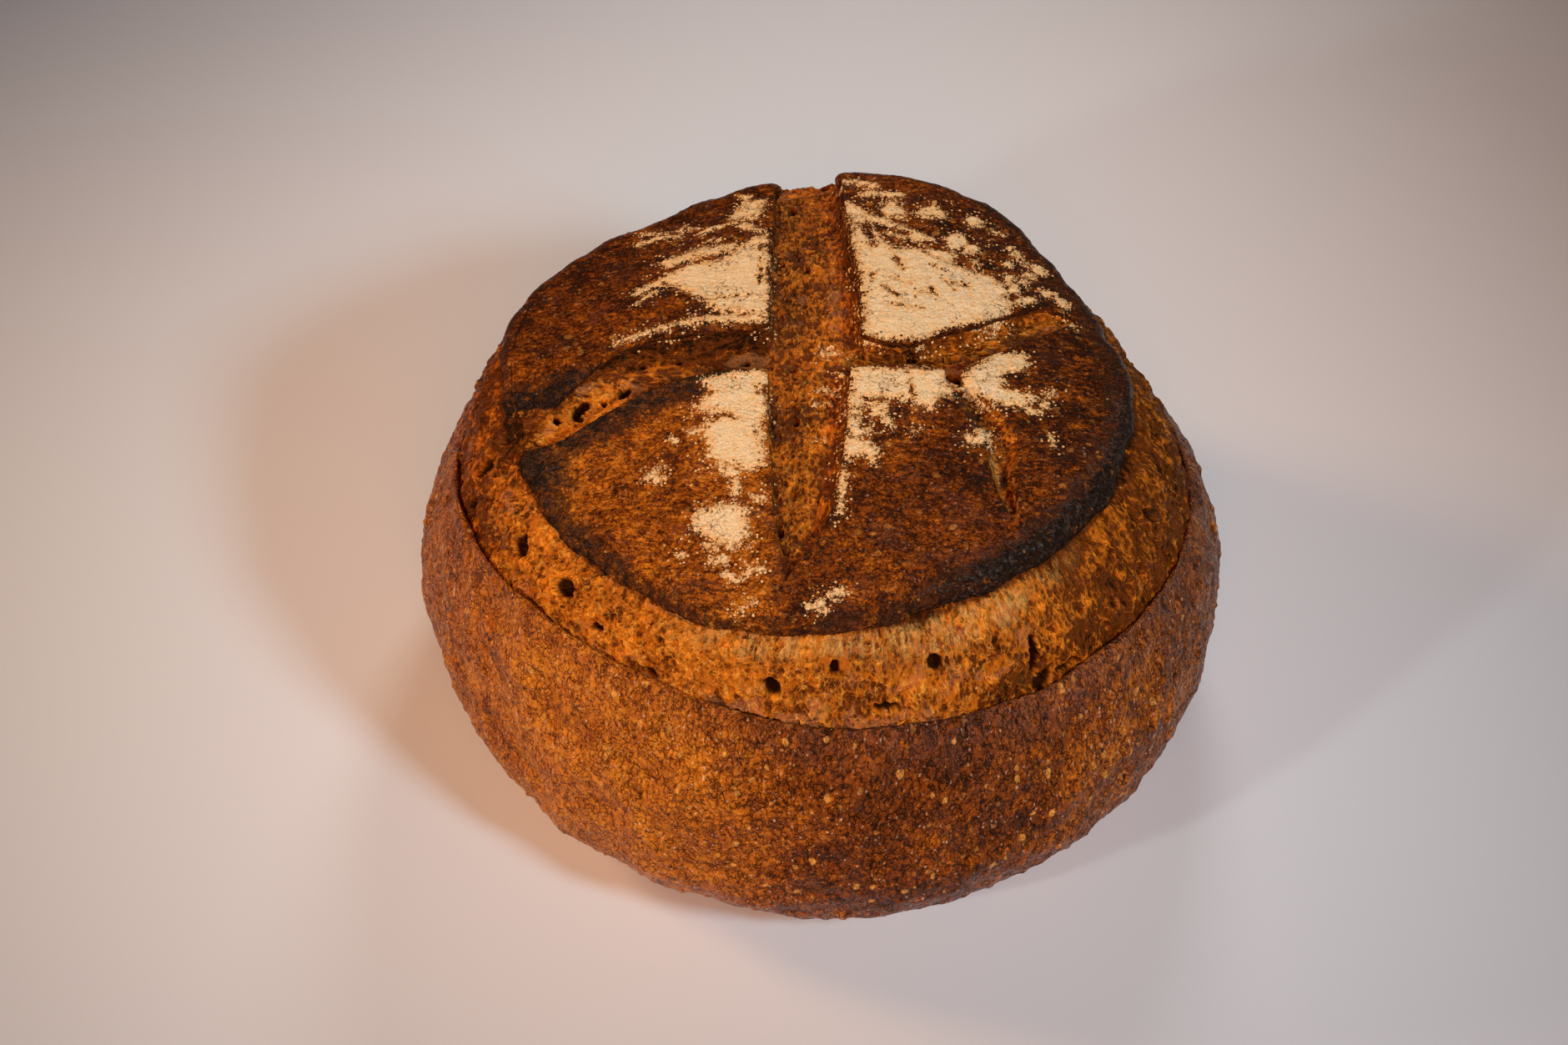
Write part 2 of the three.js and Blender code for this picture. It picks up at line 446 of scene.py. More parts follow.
def finish_of(name, roughness, specular):
    """A material with its Principled BSDF."""
    material = bpy.data.materials.new(name)
    material.use_nodes = True
    tree = material.node_tree
    shader = next(node for node in tree.nodes if node.type == "BSDF_PRINCIPLED")
    shader.inputs["Roughness"].default_value = roughness
    shader.inputs["Specular IOR Level"].default_value = specular
    shader.inputs["Specular Tint"].default_value = SHEEN_TINT
    return material, tree, shader


def dress(tree, shader, colour, roughness=None, height=None, depth=None):
    """Links a finish's results. `height` runs from 0 to 1, and `depth` is its full size in metres."""
    plug(tree, colour, shader.inputs["Base Color"])
    if roughness:
        plug(tree, roughness, shader.inputs["Roughness"])
    if height:
        bumps = {"Strength": 1.0, "Distance": depth, "Height": height}
        plug(tree, add(tree, "ShaderNodeBump", bumps), shader.inputs["Normal"])


# %% [markdown]
# ## The relief of baked crust
#
# Crust is dough skin that dried and blistered: broad lumps from the gas below, shallow dimples, fine grain
# and small round blisters. Each layer has its own size and height, so that one tree serves the wall, the
# lid and the base. Dusting flour lies on top of it, thick enough to stand out a third of a millimetre.

# %% Crust relief tree
def crust_relief():
    """Raises a grid by every layer of the crust, each in its own size and height."""
    tree, ports = relief_tree("crust relief", {
        "Lump size": 24.0, "Lump height": 1.0, "Dimple size": 7.0, "Dimple height": 0.4,
        "Grain size": 1.7, "Grain height": 0.16, "Blister size": 4.5, "Blister height": 0.35,
        "Streak height": 0.0, "Flour height": 0.0, "Tear depth": 0.0, "Welt height": 0.0,
        "Crag height": 0.0,
    })
    place = add(tree, "GeometryNodeInputPosition")
    shown = kept(tree, "relief")
    lumps = wobble(tree, place, ports["Lump size"], detail=1.0)
    dimples = wobble(tree, place, ports["Dimple size"])
    grain = wobble(tree, place, ports["Grain size"], roughness=0.6)
    streak_place = scaled(tree, bent(tree, place, 0.012, 0.004), (0.22, 1.0, 1.0))
    streaks = wobble(tree, streak_place, 0.0016)
    welts = wobble(tree, kept(tree, "pull", vector=True), 0.0040, roughness=0.6)

    near, chance = scattered(tree, bent(tree, place, 0.004, 0.0012), ports["Blister size"])
    dome = bowl(near, chance.step(0.35, 1.0) * 0.38 + 0.03)

    ragged = kept(tree, "flour") + wobble(tree, place, 0.0013, detail=3.0, roughness=0.7) * 3.4
    powder = (ragged + wobble(tree, place, 0.005) * 2.4).step(-0.3, 0.7)
    clumps = noise(tree, place, 0.0015, roughness=0.7) * 0.9 + 0.5
    clumps = clumps + wobble(tree, place, 0.0045, detail=1.0) * 2.0
    rough_tear = noise(tree, place, 0.0022) * 0.7 + 0.6
    crag = wobble(tree, place, 0.0042, detail=4.0, roughness=0.75)

    height = lumps * ports["Lump height"] + dimples * ports["Dimple height"] * 2.0
    height = height + grain * ports["Grain height"] * 2.0 + streaks * ports["Streak height"] * 2.0
    height = height + dome * ports["Blister height"] + powder * clumps * ports["Flour height"]
    tear = kept(tree, "torn") * rough_tear * ports["Tear depth"]
    height = height - tear + welts * ports["Welt height"] * 2.0
    height = height + crag * kept(tree, "crag") * ports["Crag height"] * 2.0
    geometry = keep(tree, ports["Mesh"], "dome", dome)
    geometry = raised(tree, geometry, height * shown)
    return close_tree(tree, geometry, ports["Finish"])


CRUST_RELIEF = crust_relief()
print(CRUST_RELIEF.name, len(CRUST_RELIEF.nodes), "nodes")

# %% [markdown]
# ## The relief of torn crumb
#
# Where the crust opened, the crumb tore: a foam whose bubble walls stand up as a web, drawn out along the
# pull, with small pores everywhere and a few deep holes. The mesh keeps a place that is squeezed along
# the pull (`pull`), so a round cell measured there comes out long on the loaf.

# %% Crumb relief tree
def bubbles(tree, where, size, share):
    """Scattered bubbles from 0 to 1, and the rims round them. Only a `share` of the places has one."""
    near, chance = scattered(tree, where, size)
    radius = chance.step(1.0 - share, 1.0) * 0.4 + 0.01
    inside = near / radius
    rim = inside.step(0.8, 1.05) * inside.step(1.5, 1.1) * radius.step(0.05, 0.2)
    return bowl(near, radius) ** 0.5, rim


def crumb_relief():
    """Raises a grid as torn crumb, and keeps where its pockets, pores and bubble rims came out."""
    tree, ports = relief_tree("crumb relief", {
        "Swell size": 13.0, "Swell height": 4.0, "Clump size": 4.2, "Clump height": 2.8,
        "Fibre size": 1.9, "Fibre height": 1.6, "Foam size": 2.8, "Foam depth": 1.3,
        "Pore size": 6.0, "Pore depth": 2.2, "Hole depth": 5.0, "Flour height": 0.0,
    })
    place = add(tree, "GeometryNodeInputPosition")
    shown = kept(tree, "relief")
    pull = kept(tree, "pull", vector=True)
    swell = wobble(tree, place, ports["Swell size"])
    wander = bent(tree, bent(tree, pull, 0.009, 0.004), 0.003, 0.0012)
    clump = wobble(tree, wander, ports["Clump size"], detail=3.0, roughness=0.6)
    fibre = wobble(tree, wander, ports["Fibre size"], detail=3.0, roughness=0.65)
    foam, foam_rim = bubbles(tree, wander, ports["Foam size"], 0.6)
    pore, pore_rim = bubbles(tree, wander, ports["Pore size"], 0.28)
    open_share = noise(tree, place, 0.012, detail=1.0).step(0.38, 0.62) * 0.7 + 0.3
    hole = kept(tree, "hole")
    skinned = 1.0 - kept(tree, "skin") * 0.85
    powder = (kept(tree, "flour") + wobble(tree, place, 0.0012, detail=3.0) * 2.5).step(-0.2, 0.6)

    height = clump * ports["Clump height"] + fibre * ports["Fibre height"]
    height = height - foam * open_share * ports["Foam depth"]
    height = height + foam_rim * 0.00015 + pore_rim * 0.00035 - pore * ports["Pore depth"]
    height = height * (1.0 - hole.step(0.0, 0.5) * 0.8) * skinned + swell * ports["Swell height"]
    height = height + powder * ports["Flour height"] - hole * ports["Hole depth"]
    # How dark the finish paints pores, holes and froth: painted shade in them.
    pore_shade = (pore * 0.8).math("MAXIMUM", hole * 1.9).math("MAXIMUM", foam * open_share * 0.3)
    # pocket: the hollows, which the finish paints darker as painted shade.
    geometry = keep(tree, ports["Mesh"], "pocket", foam * open_share - clump * 2.0)
    geometry = keep(tree, geometry, "pore", pore_shade)
    geometry = keep(tree, geometry, "rim", foam_rim * 0.5 + pore_rim)
    geometry = raised(tree, geometry, height * shown)
    return close_tree(tree, geometry, ports["Finish"])


CRUMB_RELIEF = crumb_relief()
print(CRUMB_RELIEF.name, len(CRUMB_RELIEF.nodes), "nodes")

# %% [markdown]
# ## Colours of the bake
#
# Crust runs from golden through red-brown to mahogany and black, as sugars brown and then burn. The
# colours are kept by name, in linear light, so that each finish names what it is.

# %% Bake colours
def bake(red, green, blue):
    """An opaque colour in linear light."""
    return (red, green, blue, 1.0)


CHAR = bake(0.020, 0.011, 0.007)
SCORCH = bake(0.072, 0.022, 0.008)
MAHOGANY = bake(0.055, 0.011, 0.002)
PLUM_BROWN = bake(0.110, 0.033, 0.018)
RED_BROWN = bake(0.230, 0.048, 0.003)
COPPER = bake(0.480, 0.120, 0.006)
GOLDEN = bake(0.720, 0.230, 0.018)
STRAW = bake(0.780, 0.400, 0.070)
FLECK = bake(0.950, 0.380, 0.065)
# grey of a painted sheen near the wall's lip, and of a grey tint over the base's middle
SMOKE_AND_SHEEN = bake(0.200, 0.090, 0.060)
ASH = bake(0.068, 0.035, 0.023)
# painted highlight: the colour of small glints painted onto the crust
PAINTED_GLINT = bake(0.850, 0.520, 0.330)
CREAM = bake(0.700, 0.340, 0.080)
CRUMB_GOLD = bake(0.900, 0.265, 0.016)
# painted sheen of the crumb's glossy patches
CRUMB_SHEEN = bake(0.460, 0.180, 0.080)
CRUMB_DEEP = bake(0.130, 0.028, 0.003)
# painted shade in pores, pits and the deepest hollows of crumb
PORE_SHADE = bake(0.026, 0.008, 0.002)
FILM = bake(0.360, 0.140, 0.045)
FLOUR_WARM = bake(1.000, 0.590, 0.230)
FLOUR_PALE = bake(1.000, 0.750, 0.430)

# %% [markdown]
# ## Shared effects
#
# Three effects are used by several finishes: the fine grain that gives crust its small glints, the flour
# that sits in its hollows, and the colours of torn crumb; grain and crumb carry painted highlights and shade.

# %% Crust skin group
def beads(tree, where, size):
    """Round-topped beads of random height, from 0 in the seams between them to 1."""
    near, luck = scattered(tree, where, size)
    return bowl(near, 0.62) * (luck * 0.75 + 0.25)


def crust_skin_group():
    """Colour, roughness and height of bare crust; `Bake` 0 is lightly baked and 1 nearly black."""
    tree, ports = shader_group(
        "crust skin",
        {"Place": (0.0, 0.0, 0.0), "Flow": (0.0, 0.0, 0.0), "Bake": 0.3, "Mottle": 0.5, "Gold": 0.5,
         "Flecks": 0.5, "Dome": 0.0},
        {"Color": "NodeSocketColor", "Roughness": "NodeSocketFloat", "Height": "NodeSocketFloat"},
    )
    place, flow = ports["Place"], ports["Flow"]
    broad = noise(tree, place, 0.015, detail=3.0, roughness=0.6)
    patch = noise(tree, flow, 0.0042, detail=3.0, roughness=0.6)
    speck = noise(tree, flow, 0.0012, roughness=0.65)
    crevice = wobble(tree, flow, 0.0026, detail=3.0, roughness=0.6).math("ABSOLUTE").step(0.028, 0.0)
    wander = bent(tree, flow, 0.0030, 0.0007)
    bead = beads(tree, wander, 0.0018) * 0.55 + beads(tree, wander, 0.0010) * 0.45
    seam = cells(tree, wander, 0.0013, feature="DISTANCE_TO_EDGE").step(0.11, 0.0)
    seam = seam * noise(tree, flow, 0.0034, detail=1.0).step(0.38, 0.6)
    height = speck * 0.7 + bead * 0.9 - crevice * 0.4 + patch * 0.9 - seam * 0.25

    # Higher grain and bead tops are painted lighter, crevices and seams darker: painted highlight and painted
    # shade, laid over the crust's own mottled bake.
    depth = ports["Bake"] + (broad - 0.5) * ports["Mottle"] * 1.9 - (speck - 0.5) * 1.4
    depth = depth - (patch - 0.5) * ports["Gold"] * 1.3 - (bead - 0.2) * 0.6 + crevice * 0.6 + seam * 0.3
    colour = mixed(tree, depth.step(-0.5, 0.05), GOLDEN, COPPER)
    colour = mixed(tree, depth.step(0.0, 0.4), colour, RED_BROWN)
    colour = mixed(tree, depth.step(0.4, 0.95), colour, MAHOGANY)
    colour = mixed(tree, depth.step(0.9, 1.5), colour, CHAR)
    plum = noise(tree, place, 0.010, detail=4.0, roughness=0.65).step(0.5, 0.64) * ports["Mottle"]
    colour = mixed(tree, plum * depth.step(-0.2, 0.4) * 0.55, colour, PLUM_BROWN)
    crumbly = bent(tree, bent(tree, flow, 0.0022, 0.0012), 0.0007, 0.0006)
    spot, luck = scattered(tree, crumbly, 0.0038)
    fleck = (spot / (luck.step(0.35, 1.1) * 0.32 + 0.001)).step(1.1, 0.75)
    height = height + fleck * 0.35
    fleck = fleck.math("MAXIMUM", ports["Dome"].step(0.5, 0.95) * 0.6) * ports["Flecks"]
    colour = mixed(tree, fleck * (0.4 + speck * 0.9), colour, FLECK)
    # Small painted glints on the tops of the grain, standing in for sharp reflections.
    spark, luck = scattered(tree, wander, 0.0011)
    painted_glint = spark.step(0.36, 0.2) * luck.step(0.7, 0.8) * speck.step(0.42, 0.55) * ports["Flecks"]
    colour = mixed(tree, painted_glint * 0.7, colour, PAINTED_GLINT)

    rough = 0.15 + speck * 0.16 + crevice * 0.2
    return close_group(tree, {"Color": colour, "Roughness": rough, "Height": height})


# %% Flour group
NO_FLOUR = -9.0  # the value of a place that is far from any flour


def flour_group():
    """Dusting flour: `Reach` is how far inside the dusted patch a point is, in millimetres."""
    tree, ports = shader_group(
        "dusting flour",
        {"Place": (0.0, 0.0, 0.0), "Reach": NO_FLOUR},
        {"Cover": "NodeSocketFloat", "Color": "NodeSocketColor", "Height": "NodeSocketFloat"},
    )
    place = ports["Place"]
    fine = noise(tree, place, 0.0006, detail=3.0, roughness=0.8)
    clump = noise(tree, place, 0.0018, detail=4.0, roughness=0.75)
    drift = noise(tree, scaled(tree, place, (0.4, 1.0, 1.0)), 0.0055, detail=3.0, roughness=0.6)
    lump = beads(tree, bent(tree, place, 0.002, 0.0008), 0.0010)
    ragged = ports["Reach"] + (clump - 0.5) * 9.0 + (fine - 0.5) * 6.0 + (drift - 0.5) * 5.0
    ragged = ragged.math("MINIMUM", 3.0 + (clump - 0.5) * 12.0 + (fine - 0.5) * 4.0)
    dust, luck = scattered(tree, place, 0.0011)
    likely = (ports["Reach"] + (drift - 0.5) * 12.0).step(-7.0, 0.5) ** 2.0 * 0.6
    dot = dust.step(0.42, 0.3) * (luck - (1.0 - likely)).step(-0.01, 0.01)
    bald = dust.step(0.5, 0.3) * luck.step(0.12, 0.06) * ports["Reach"].step(4.5, 1.0)
    fissure = wobble(tree, bent(tree, place, 0.004, 0.002), 0.0055, detail=3.0, roughness=0.7)
    crack = fissure.math("ABSOLUTE").step(0.016, 0.004)
    crack = crack * noise(tree, place, 0.011, detail=1.0).step(0.46, 0.6)
    cover = ragged.step(-0.3, 0.3).math("MAXIMUM", dot) * (1.0 - bald) * (1.0 - crack * 0.8)
    thick = ragged.step(0.0, 3.2)
    paleness = thick * 0.85 + (fine - 0.5) * 1.0 + (clump - 0.5) * 0.8
    colour = mixed(tree, paleness, FLOUR_WARM, FLOUR_PALE)
    colour = mixed(tree, lump.step(0.16, 0.02) * (1.0 - thick * 0.8) * 0.35, colour, GOLDEN)
    height = lump * 0.45 + fine * 0.35 + clump * 0.6
    return close_group(tree, {"Cover": cover, "Color": colour, "Height": height})


# %% Torn crumb group
def torn_crumb_group():
    """Torn crumb: `Toast` 0 is golden and 1 deep brown, `Pale` is cream, `Pocket` the relief's hollows."""
    tree, ports = shader_group(
        "torn crumb",
        {"Place": (0.0, 0.0, 0.0), "Pull": (0.0, 0.0, 0.0), "Toast": 0.3, "Pale": 0.0, "Pocket": 0.3,
         "Pore": 0.0, "Rim": 0.0, "Film": 0.0},
        {"Color": "NodeSocketColor", "Roughness": "NodeSocketFloat", "Height": "NodeSocketFloat"},
    )
    place, pull = ports["Place"], ports["Pull"]
    broad = noise(tree, place, 0.011, detail=3.0, roughness=0.6)
    wander = bent(tree, pull, 0.0025, 0.0012)
    strand = noise(tree, wander, 0.0019, detail=3.0, roughness=0.7)
    thread = wobble(tree, wander, 0.0026).math("ABSOLUTE").step(0.045, 0.0)
    froth = bowl(cells(tree, wander, 0.0015), 0.55)
    fizz = bowl(cells(tree, wander, 0.0008), 0.55)
    pin = cells(tree, wander, 0.0026).step(0.2, 0.08)
    calm = noise(tree, place, 0.0085, detail=3.0, roughness=0.6).step(0.43, 0.57)
    busy = 1.0 - calm * 0.4
    height = (strand * 1.2 + thread * 0.25 - froth * 0.4 - fizz * 0.2 - pin * 0.3) * busy

    # Raised strands are painted lighter and froth, fizz and pockets darker: painted highlight and painted
    # shade, over the crumb's own toast.
    web = (froth - 0.35) * 0.8 + (fizz - 0.35) * 0.6 - (strand - 0.5) * 3.6 - thread * 0.6
    depth = ports["Toast"] + 0.08 + (broad - 0.5) * 3.0 + ports["Pocket"] * 0.2 + web * busy
    colour = mixed(tree, depth.step(-0.6, 0.3), CRUMB_GOLD, COPPER)
    colour = mixed(tree, depth.step(0.3, 1.0), colour, CRUMB_DEEP)
    colour = mixed(tree, depth.step(1.3, 2.1), colour, PORE_SHADE)
    toast = ports["Toast"]
    # Glossy patches: lower roughness, and a rosy painted sheen over their colour.
    glossy_patch = noise(tree, place, 0.008, detail=3.0, roughness=0.6).step(0.5, 0.6) * toast.step(0.25, 0.55)
    glossy_patch = glossy_patch * toast.step(0.78, 0.66)
    colour = mixed(tree, glossy_patch * 0.4, colour, CRUMB_SHEEN)
    # Raised threads and bubble rims are painted pale straw: a painted highlight.
    bright = (thread * strand.step(0.42, 0.56)).math("MAXIMUM", ports["Rim"] * 0.5) * toast.step(1.1, 0.5)
    colour = mixed(tree, bright * 0.5, colour, STRAW)
    long_strand = noise(tree, scaled(tree, pull, (1.0, 1.0, 0.35)), 0.0016, detail=3.0, roughness=0.6)
    waxy = noise(tree, place, 0.0055).step(0.36, 0.58) * 0.75 + 0.25
    cream = ports["Pale"] * waxy * (long_strand + strand * 0.4).step(0.58, 0.82)
    colour = mixed(tree, cream, colour, CREAM)
    colour = mixed(tree, ports["Film"] * 0.65, colour, FILM)
    # Pores, holes and pits are painted near-black: painted shade in them.
    hollow = ports["Pore"].math("MAXIMUM", pin * strand.step(0.6, 0.45) * 0.5)
    colour = mixed(tree, hollow.step(0.2, 1.0) * 0.97, colour, PORE_SHADE)

    rough = 0.28 + strand * 0.2 - glossy_patch * 0.1 - calm * 0.06
    return close_group(tree, {"Color": colour, "Roughness": rough, "Height": height})


CRUST_SKIN = crust_skin_group()
DUSTING = flour_group()
TORN_CRUMB = torn_crumb_group()
print("shared effects:", [group.name for group in (CRUST_SKIN, DUSTING, TORN_CRUMB)])

# %% [markdown]
# ## Finishes
#
# The lower crust is red-brown with golden flecks, the lid darker with a burnt rim and flour, the crumb
# golden. Each finish reads what its meshes keep: `char`, `bake`, `flour`, `torn`, `toast` and `pale`.

# %% Crust finishes
CRUST_BUMP = 0.0013
LID_BUMP = 0.0012
CRUMB_BUMP = 0.0014


def crust_finish(name, mottle, gold, flecks):
    """Bare crust with burnt places; the base and the lower wall differ in their numbers only."""
    material, tree, shader = finish_of(name, roughness=0.5, specular=0.15)
    place = object_place(tree)
    skin = use(tree, CRUST_SKIN, Place=place, Flow=stored_place(tree, "pull"), Bake=stored(tree, "bake"),
               Mottle=mottle, Gold=gold, Flecks=flecks, Dome=stored(tree, "dome"))
    # A painted sheen: the wall is greyed near its lip, more on the right; the base is greyed toward its
    # middle.
    smoke_and_sheen_mask = stored(tree, "smoke_and_sheen") * noise(tree, place, 0.003, detail=4.0, roughness=0.7).step(0.3, 0.62)
    colour = mixed(tree, smoke_and_sheen_mask * 0.5, skin("Color"), SMOKE_AND_SHEEN)
    char = stored(tree, "char") + wobble(tree, place, 0.003, detail=4.0) * 0.8
    colour = mixed(tree, char.step(0.35, 0.8), colour, CHAR)
    dress(tree, shader, colour, skin("Roughness"), skin("Height"), CRUST_BUMP)
    return material


def lid_finish():
    """Dark crust in fine streaks, burnt at its edges, torn in one place, with flour over it."""
    material, tree, shader = finish_of("lid_crust", roughness=0.5, specular=0.06)
    place = object_place(tree)
    flow = scaled(tree, bent(tree, place, 0.02, 0.006), (0.92, 1.06, 1.06))
    wrinkled = scaled(tree, bent(tree, place, 0.012, 0.004), (0.25, 1.0, 1.0))
    wrinkle = wobble(tree, wrinkled, 0.0019, detail=3.0, roughness=0.6)
    bake_there = stored(tree, "bake") + wrinkle * (stored(tree, "bake").step(0.64, 0.8) * 1.2 + 1.2)
    skin = use(tree, CRUST_SKIN, Place=place, Flow=flow, Bake=bake_there, Mottle=0.7,
               Gold=1.1, Flecks=0.35, Dome=stored(tree, "dome"))
    burnt_near = stored(tree, "char")
    burn = wobble(tree, flow, 0.0040, detail=5.0, roughness=0.8)
    char = burnt_near * 1.3 + burn * 2.8 * burnt_near.step(0.0, 0.3)
    ash = noise(tree, flow, 0.0013, detail=3.0, roughness=0.75)
    burnt = mixed(tree, ash.step(0.52, 0.62) * 0.9, CHAR, ASH)
    scorched = mixed(tree, char.step(0.25, 0.6) * 0.8, skin("Color"), SCORCH)
    colour = mixed(tree, (char + (ash - 0.5) * 1.6).step(0.65, 1.05), scorched, burnt)
    # The tear's holes come in through `Pore` and are painted near-black as painted shade.
    crumb = use(tree, TORN_CRUMB, Place=place, Pull=place, Toast=0.76, Pocket=0.4,
                Pale=stored(tree, "pale"), Pore=stored(tree, "hole"))
    fray = wobble(tree, place, 0.0032, detail=3.0, roughness=0.7)
    torn = (stored(tree, "torn") + fray * 0.9).step(0.06, 0.22)
    colour = mixed(tree, torn, colour, crumb("Color"))
    flour = use(tree, DUSTING, Place=place, Reach=stored(tree, "flour"))
    colour = mixed(tree, flour("Cover"), colour, flour("Color"))
    rough = skin("Roughness") + flour("Cover") * 0.6
    height = (skin("Height") - wrinkle * 1.0) * (1.0 - flour("Cover")) + flour("Height") * flour("Cover")
    dress(tree, shader, colour, rough.math("MINIMUM", 1.0), height, LID_BUMP)
    shader.inputs["Coat Roughness"].default_value = 0.45
    tarry = stored(tree, "crag").step(0.2, 0.9) * ash.step(0.45, 0.65)
    plug(tree, tarry * 0.3, shader.inputs["Coat Weight"])
    return material


def crumb_finish():
    """Torn crumb, with a little flour fallen on it."""
    material, tree, shader = finish_of("torn_crumb", roughness=0.6, specular=0.08)
    place = object_place(tree)
    names = ("Toast", "Pale", "Pocket", "Pore", "Rim", "Film")
    values = {name: stored(tree, name.lower()) for name in names}
    crumb = use(tree, TORN_CRUMB, Place=place, Pull=stored_place(tree, "pull"), **values)
    flour = use(tree, DUSTING, Place=place, Reach=stored(tree, "flour"))
    colour = mixed(tree, flour("Cover"), crumb("Color"), flour("Color"))
    dress(tree, shader, colour, crumb("Roughness"), crumb("Height"), CRUMB_BUMP)
    return material


def flour_finish():
    """Loose grains of flour."""
    material, tree, shader = finish_of("loose_flour", roughness=0.95, specular=0.2)
    dress(tree, shader, mixed(tree, noise(tree, object_place(tree), 0.0012), FLOUR_WARM, FLOUR_PALE))
    return material


WALL_CRUST = crust_finish("wall_crust", mottle=0.6, gold=0.75, flecks=0.9)
BASE_CRUST = crust_finish("base_crust", mottle=0.5, gold=0.4, flecks=0.3)
LID_CRUST = lid_finish()
CRUMB = crumb_finish()
LOOSE_FLOUR = flour_finish()
print("finishes:", [finish.name for finish in (WALL_CRUST, BASE_CRUST, LID_CRUST, CRUMB, LOOSE_FLOUR)])

# %% [markdown]
# ## The lower crust
#
# Below the round cut the loaf is one crust from the foot, over the belly, up to a thin lip. A section is
# swept round the loaf with the rings' own sizes at each bearing. Behind the lip the surface turns down
# and in, and a fan closes it where the crumb hides it, so the piece is a closed solid.

# %% Ovals
def oval(across, along, half_width, half_length, tilt):
    """1 in the middle of a tilted oval, 0 outside it, falling like a bowl."""
    turn = math.radians(tilt)
    u = (across * math.cos(turn) + along * math.sin(turn)) / half_width
    v = (along * math.cos(turn) - across * math.sin(turn)) / half_length
    return np.sqrt(np.clip(1 - u * u - v * v, 0, 1))


def holes_at(x, y, holes):
    """How deep inside any of some ovals a place in plan is, from 0 to 1."""
    deep = np.zeros(x.shape)
    for at_x, at_y, half_width, half_length, tilt in holes:
        deep = np.maximum(deep, oval(x - at_x, y - at_y, half_width, half_length, tilt))
    return deep


def ovals_round(bearing, height, radius, ovals):
    """How deep inside any of some ovals on the loaf's side a place is, from 0 to 1."""
    deep = np.zeros(len(bearing))
    for at, middle, half_width, half_height, tilt in ovals:
        across = np.radians(turn_from(bearing, at)) * radius
        deep = np.maximum(deep, oval(across, height - middle, half_width, half_height, tilt))
    return deep


# %% Lower crust
WALL_COLUMNS = 940
UNDERSIDE_ROWS = 46
WALL_ROWS = 48
WALL_RADIUS = 110.0
ROW_HEIGHT = 1.0
FOOT_INSET = 6.0
FOOT_LIFT = 0.25
UNDERSIDE_LIFT = 0.15
LIP_SECTION = [(-0.4, 0.3), (-0.9, 0.3), (-1.3, -0.1), (-1.5, -1.0), (-1.8, -3.0), (-7.0, -9.0)]
LIP_RELIEF = 0.55
HIDDEN_LIP_ROWS = 2
DARKENED_LIP_ROWS = 4
HIDDEN_POLE_HEIGHT = 50.0
# Slits and pale scabs: bearing in degrees, height, half-width round the loaf and half-height in mm, tilt.
WALL_SLITS = [
    (254.2, 3.0, 5.0, 0.9, 4), (266.8, 5.0, 3.2, 0.9, -3), (315.8, 37.5, 0.7, 2.6, 10),
    (288.5, 41.5, 1.6, 0.7, 8), (290.0, 79.0, 0.5, 2.2, 0), (330.0, 22.0, 0.8, 2.4, 8),
    (20.0, 30.0, 1.0, 2.2, 0), (105.0, 12.0, 3.0, 0.8, 3),
]
PALE_SCABS = [
    (209.0, 52.0, 6.0, 4.5, 15), (240.0, 60.0, 2.4, 1.4, 0), (282.0, 30.0, 2.2, 1.6, 20),
    (70.0, 48.0, 4.0, 3.0, 0),
]
SCAB_PALENESS = 0.45
WALL_BAKE = 0.74
# Sides of the wall lighter or darker, partly for the bake and partly as painted light and shade where the
# lamps fall: bearing, degrees at full strength, degrees to nothing, bake.
WALL_BAKE_AND_LIGHT = [(-15, 40, 95, -0.40), (215, 30, 80, -0.76), (238, 14, 34, -0.20), (312, 14, 34, -0.10),
              (276, 14, 36, 0.14)]


def wall_section(angle):
    """Radius and height of the crust from under the foot to behind the lip: rows by columns."""
    belly, lip = around(BELLY_RADIUS, angle), around(LIP_RADIUS, angle)
    lip_height = around(LIP_HEIGHT, angle)
    power = 2 / UNDERSIDE_POWER
    rows = [(FOOT_RADIUS - FOOT_INSET + 0 * angle, FOOT_LIFT + 0 * angle)]
    for turn in np.linspace(0, np.pi / 2, UNDERSIDE_ROWS):
        bulge = FOOT_RADIUS + (belly - FOOT_RADIUS) * np.sin(turn) ** power
        rows.append((bulge, BELLY_HEIGHT * (1 - abs(np.cos(turn)) ** power) + UNDERSIDE_LIFT + 0 * angle))
    for share in np.linspace(0, 1, WALL_ROWS)[1:]:
        lean = belly - (belly - lip) * share ** SHOULDER_POWER
        rows.append((lean, BELLY_HEIGHT + (lip_height - BELLY_HEIGHT) * share))
    for inward, up in LIP_SECTION:
        rows.append((lip + inward, lip_height + up))
    radius, height = (np.array(part) for part in zip(*rows))
    return radius, height


def swept(section, columns):
    """Points of a section swept round the loaf, row by row."""
    angle = np.arange(columns) / columns * 2 * np.pi
    radius, height = section(angle)
    points = np.stack([radius * np.cos(angle), radius * np.sin(angle), height], -1)
    return points.reshape(-1, 3), len(radius)


def capped(points, rows, columns, low, high):
    """Closes a sweep with fans to two hidden poles on the loaf's axis, at the heights `low` and `high`."""
    pole = len(points)
    faces = [ring_faces(rows, columns), fan_faces(0, columns, pole, upward=False),
             fan_faces((rows - 1) * columns, columns, pole + 1, upward=True)]
    return np.vstack([points, [0, 0, low], [0, 0, high]]), faces


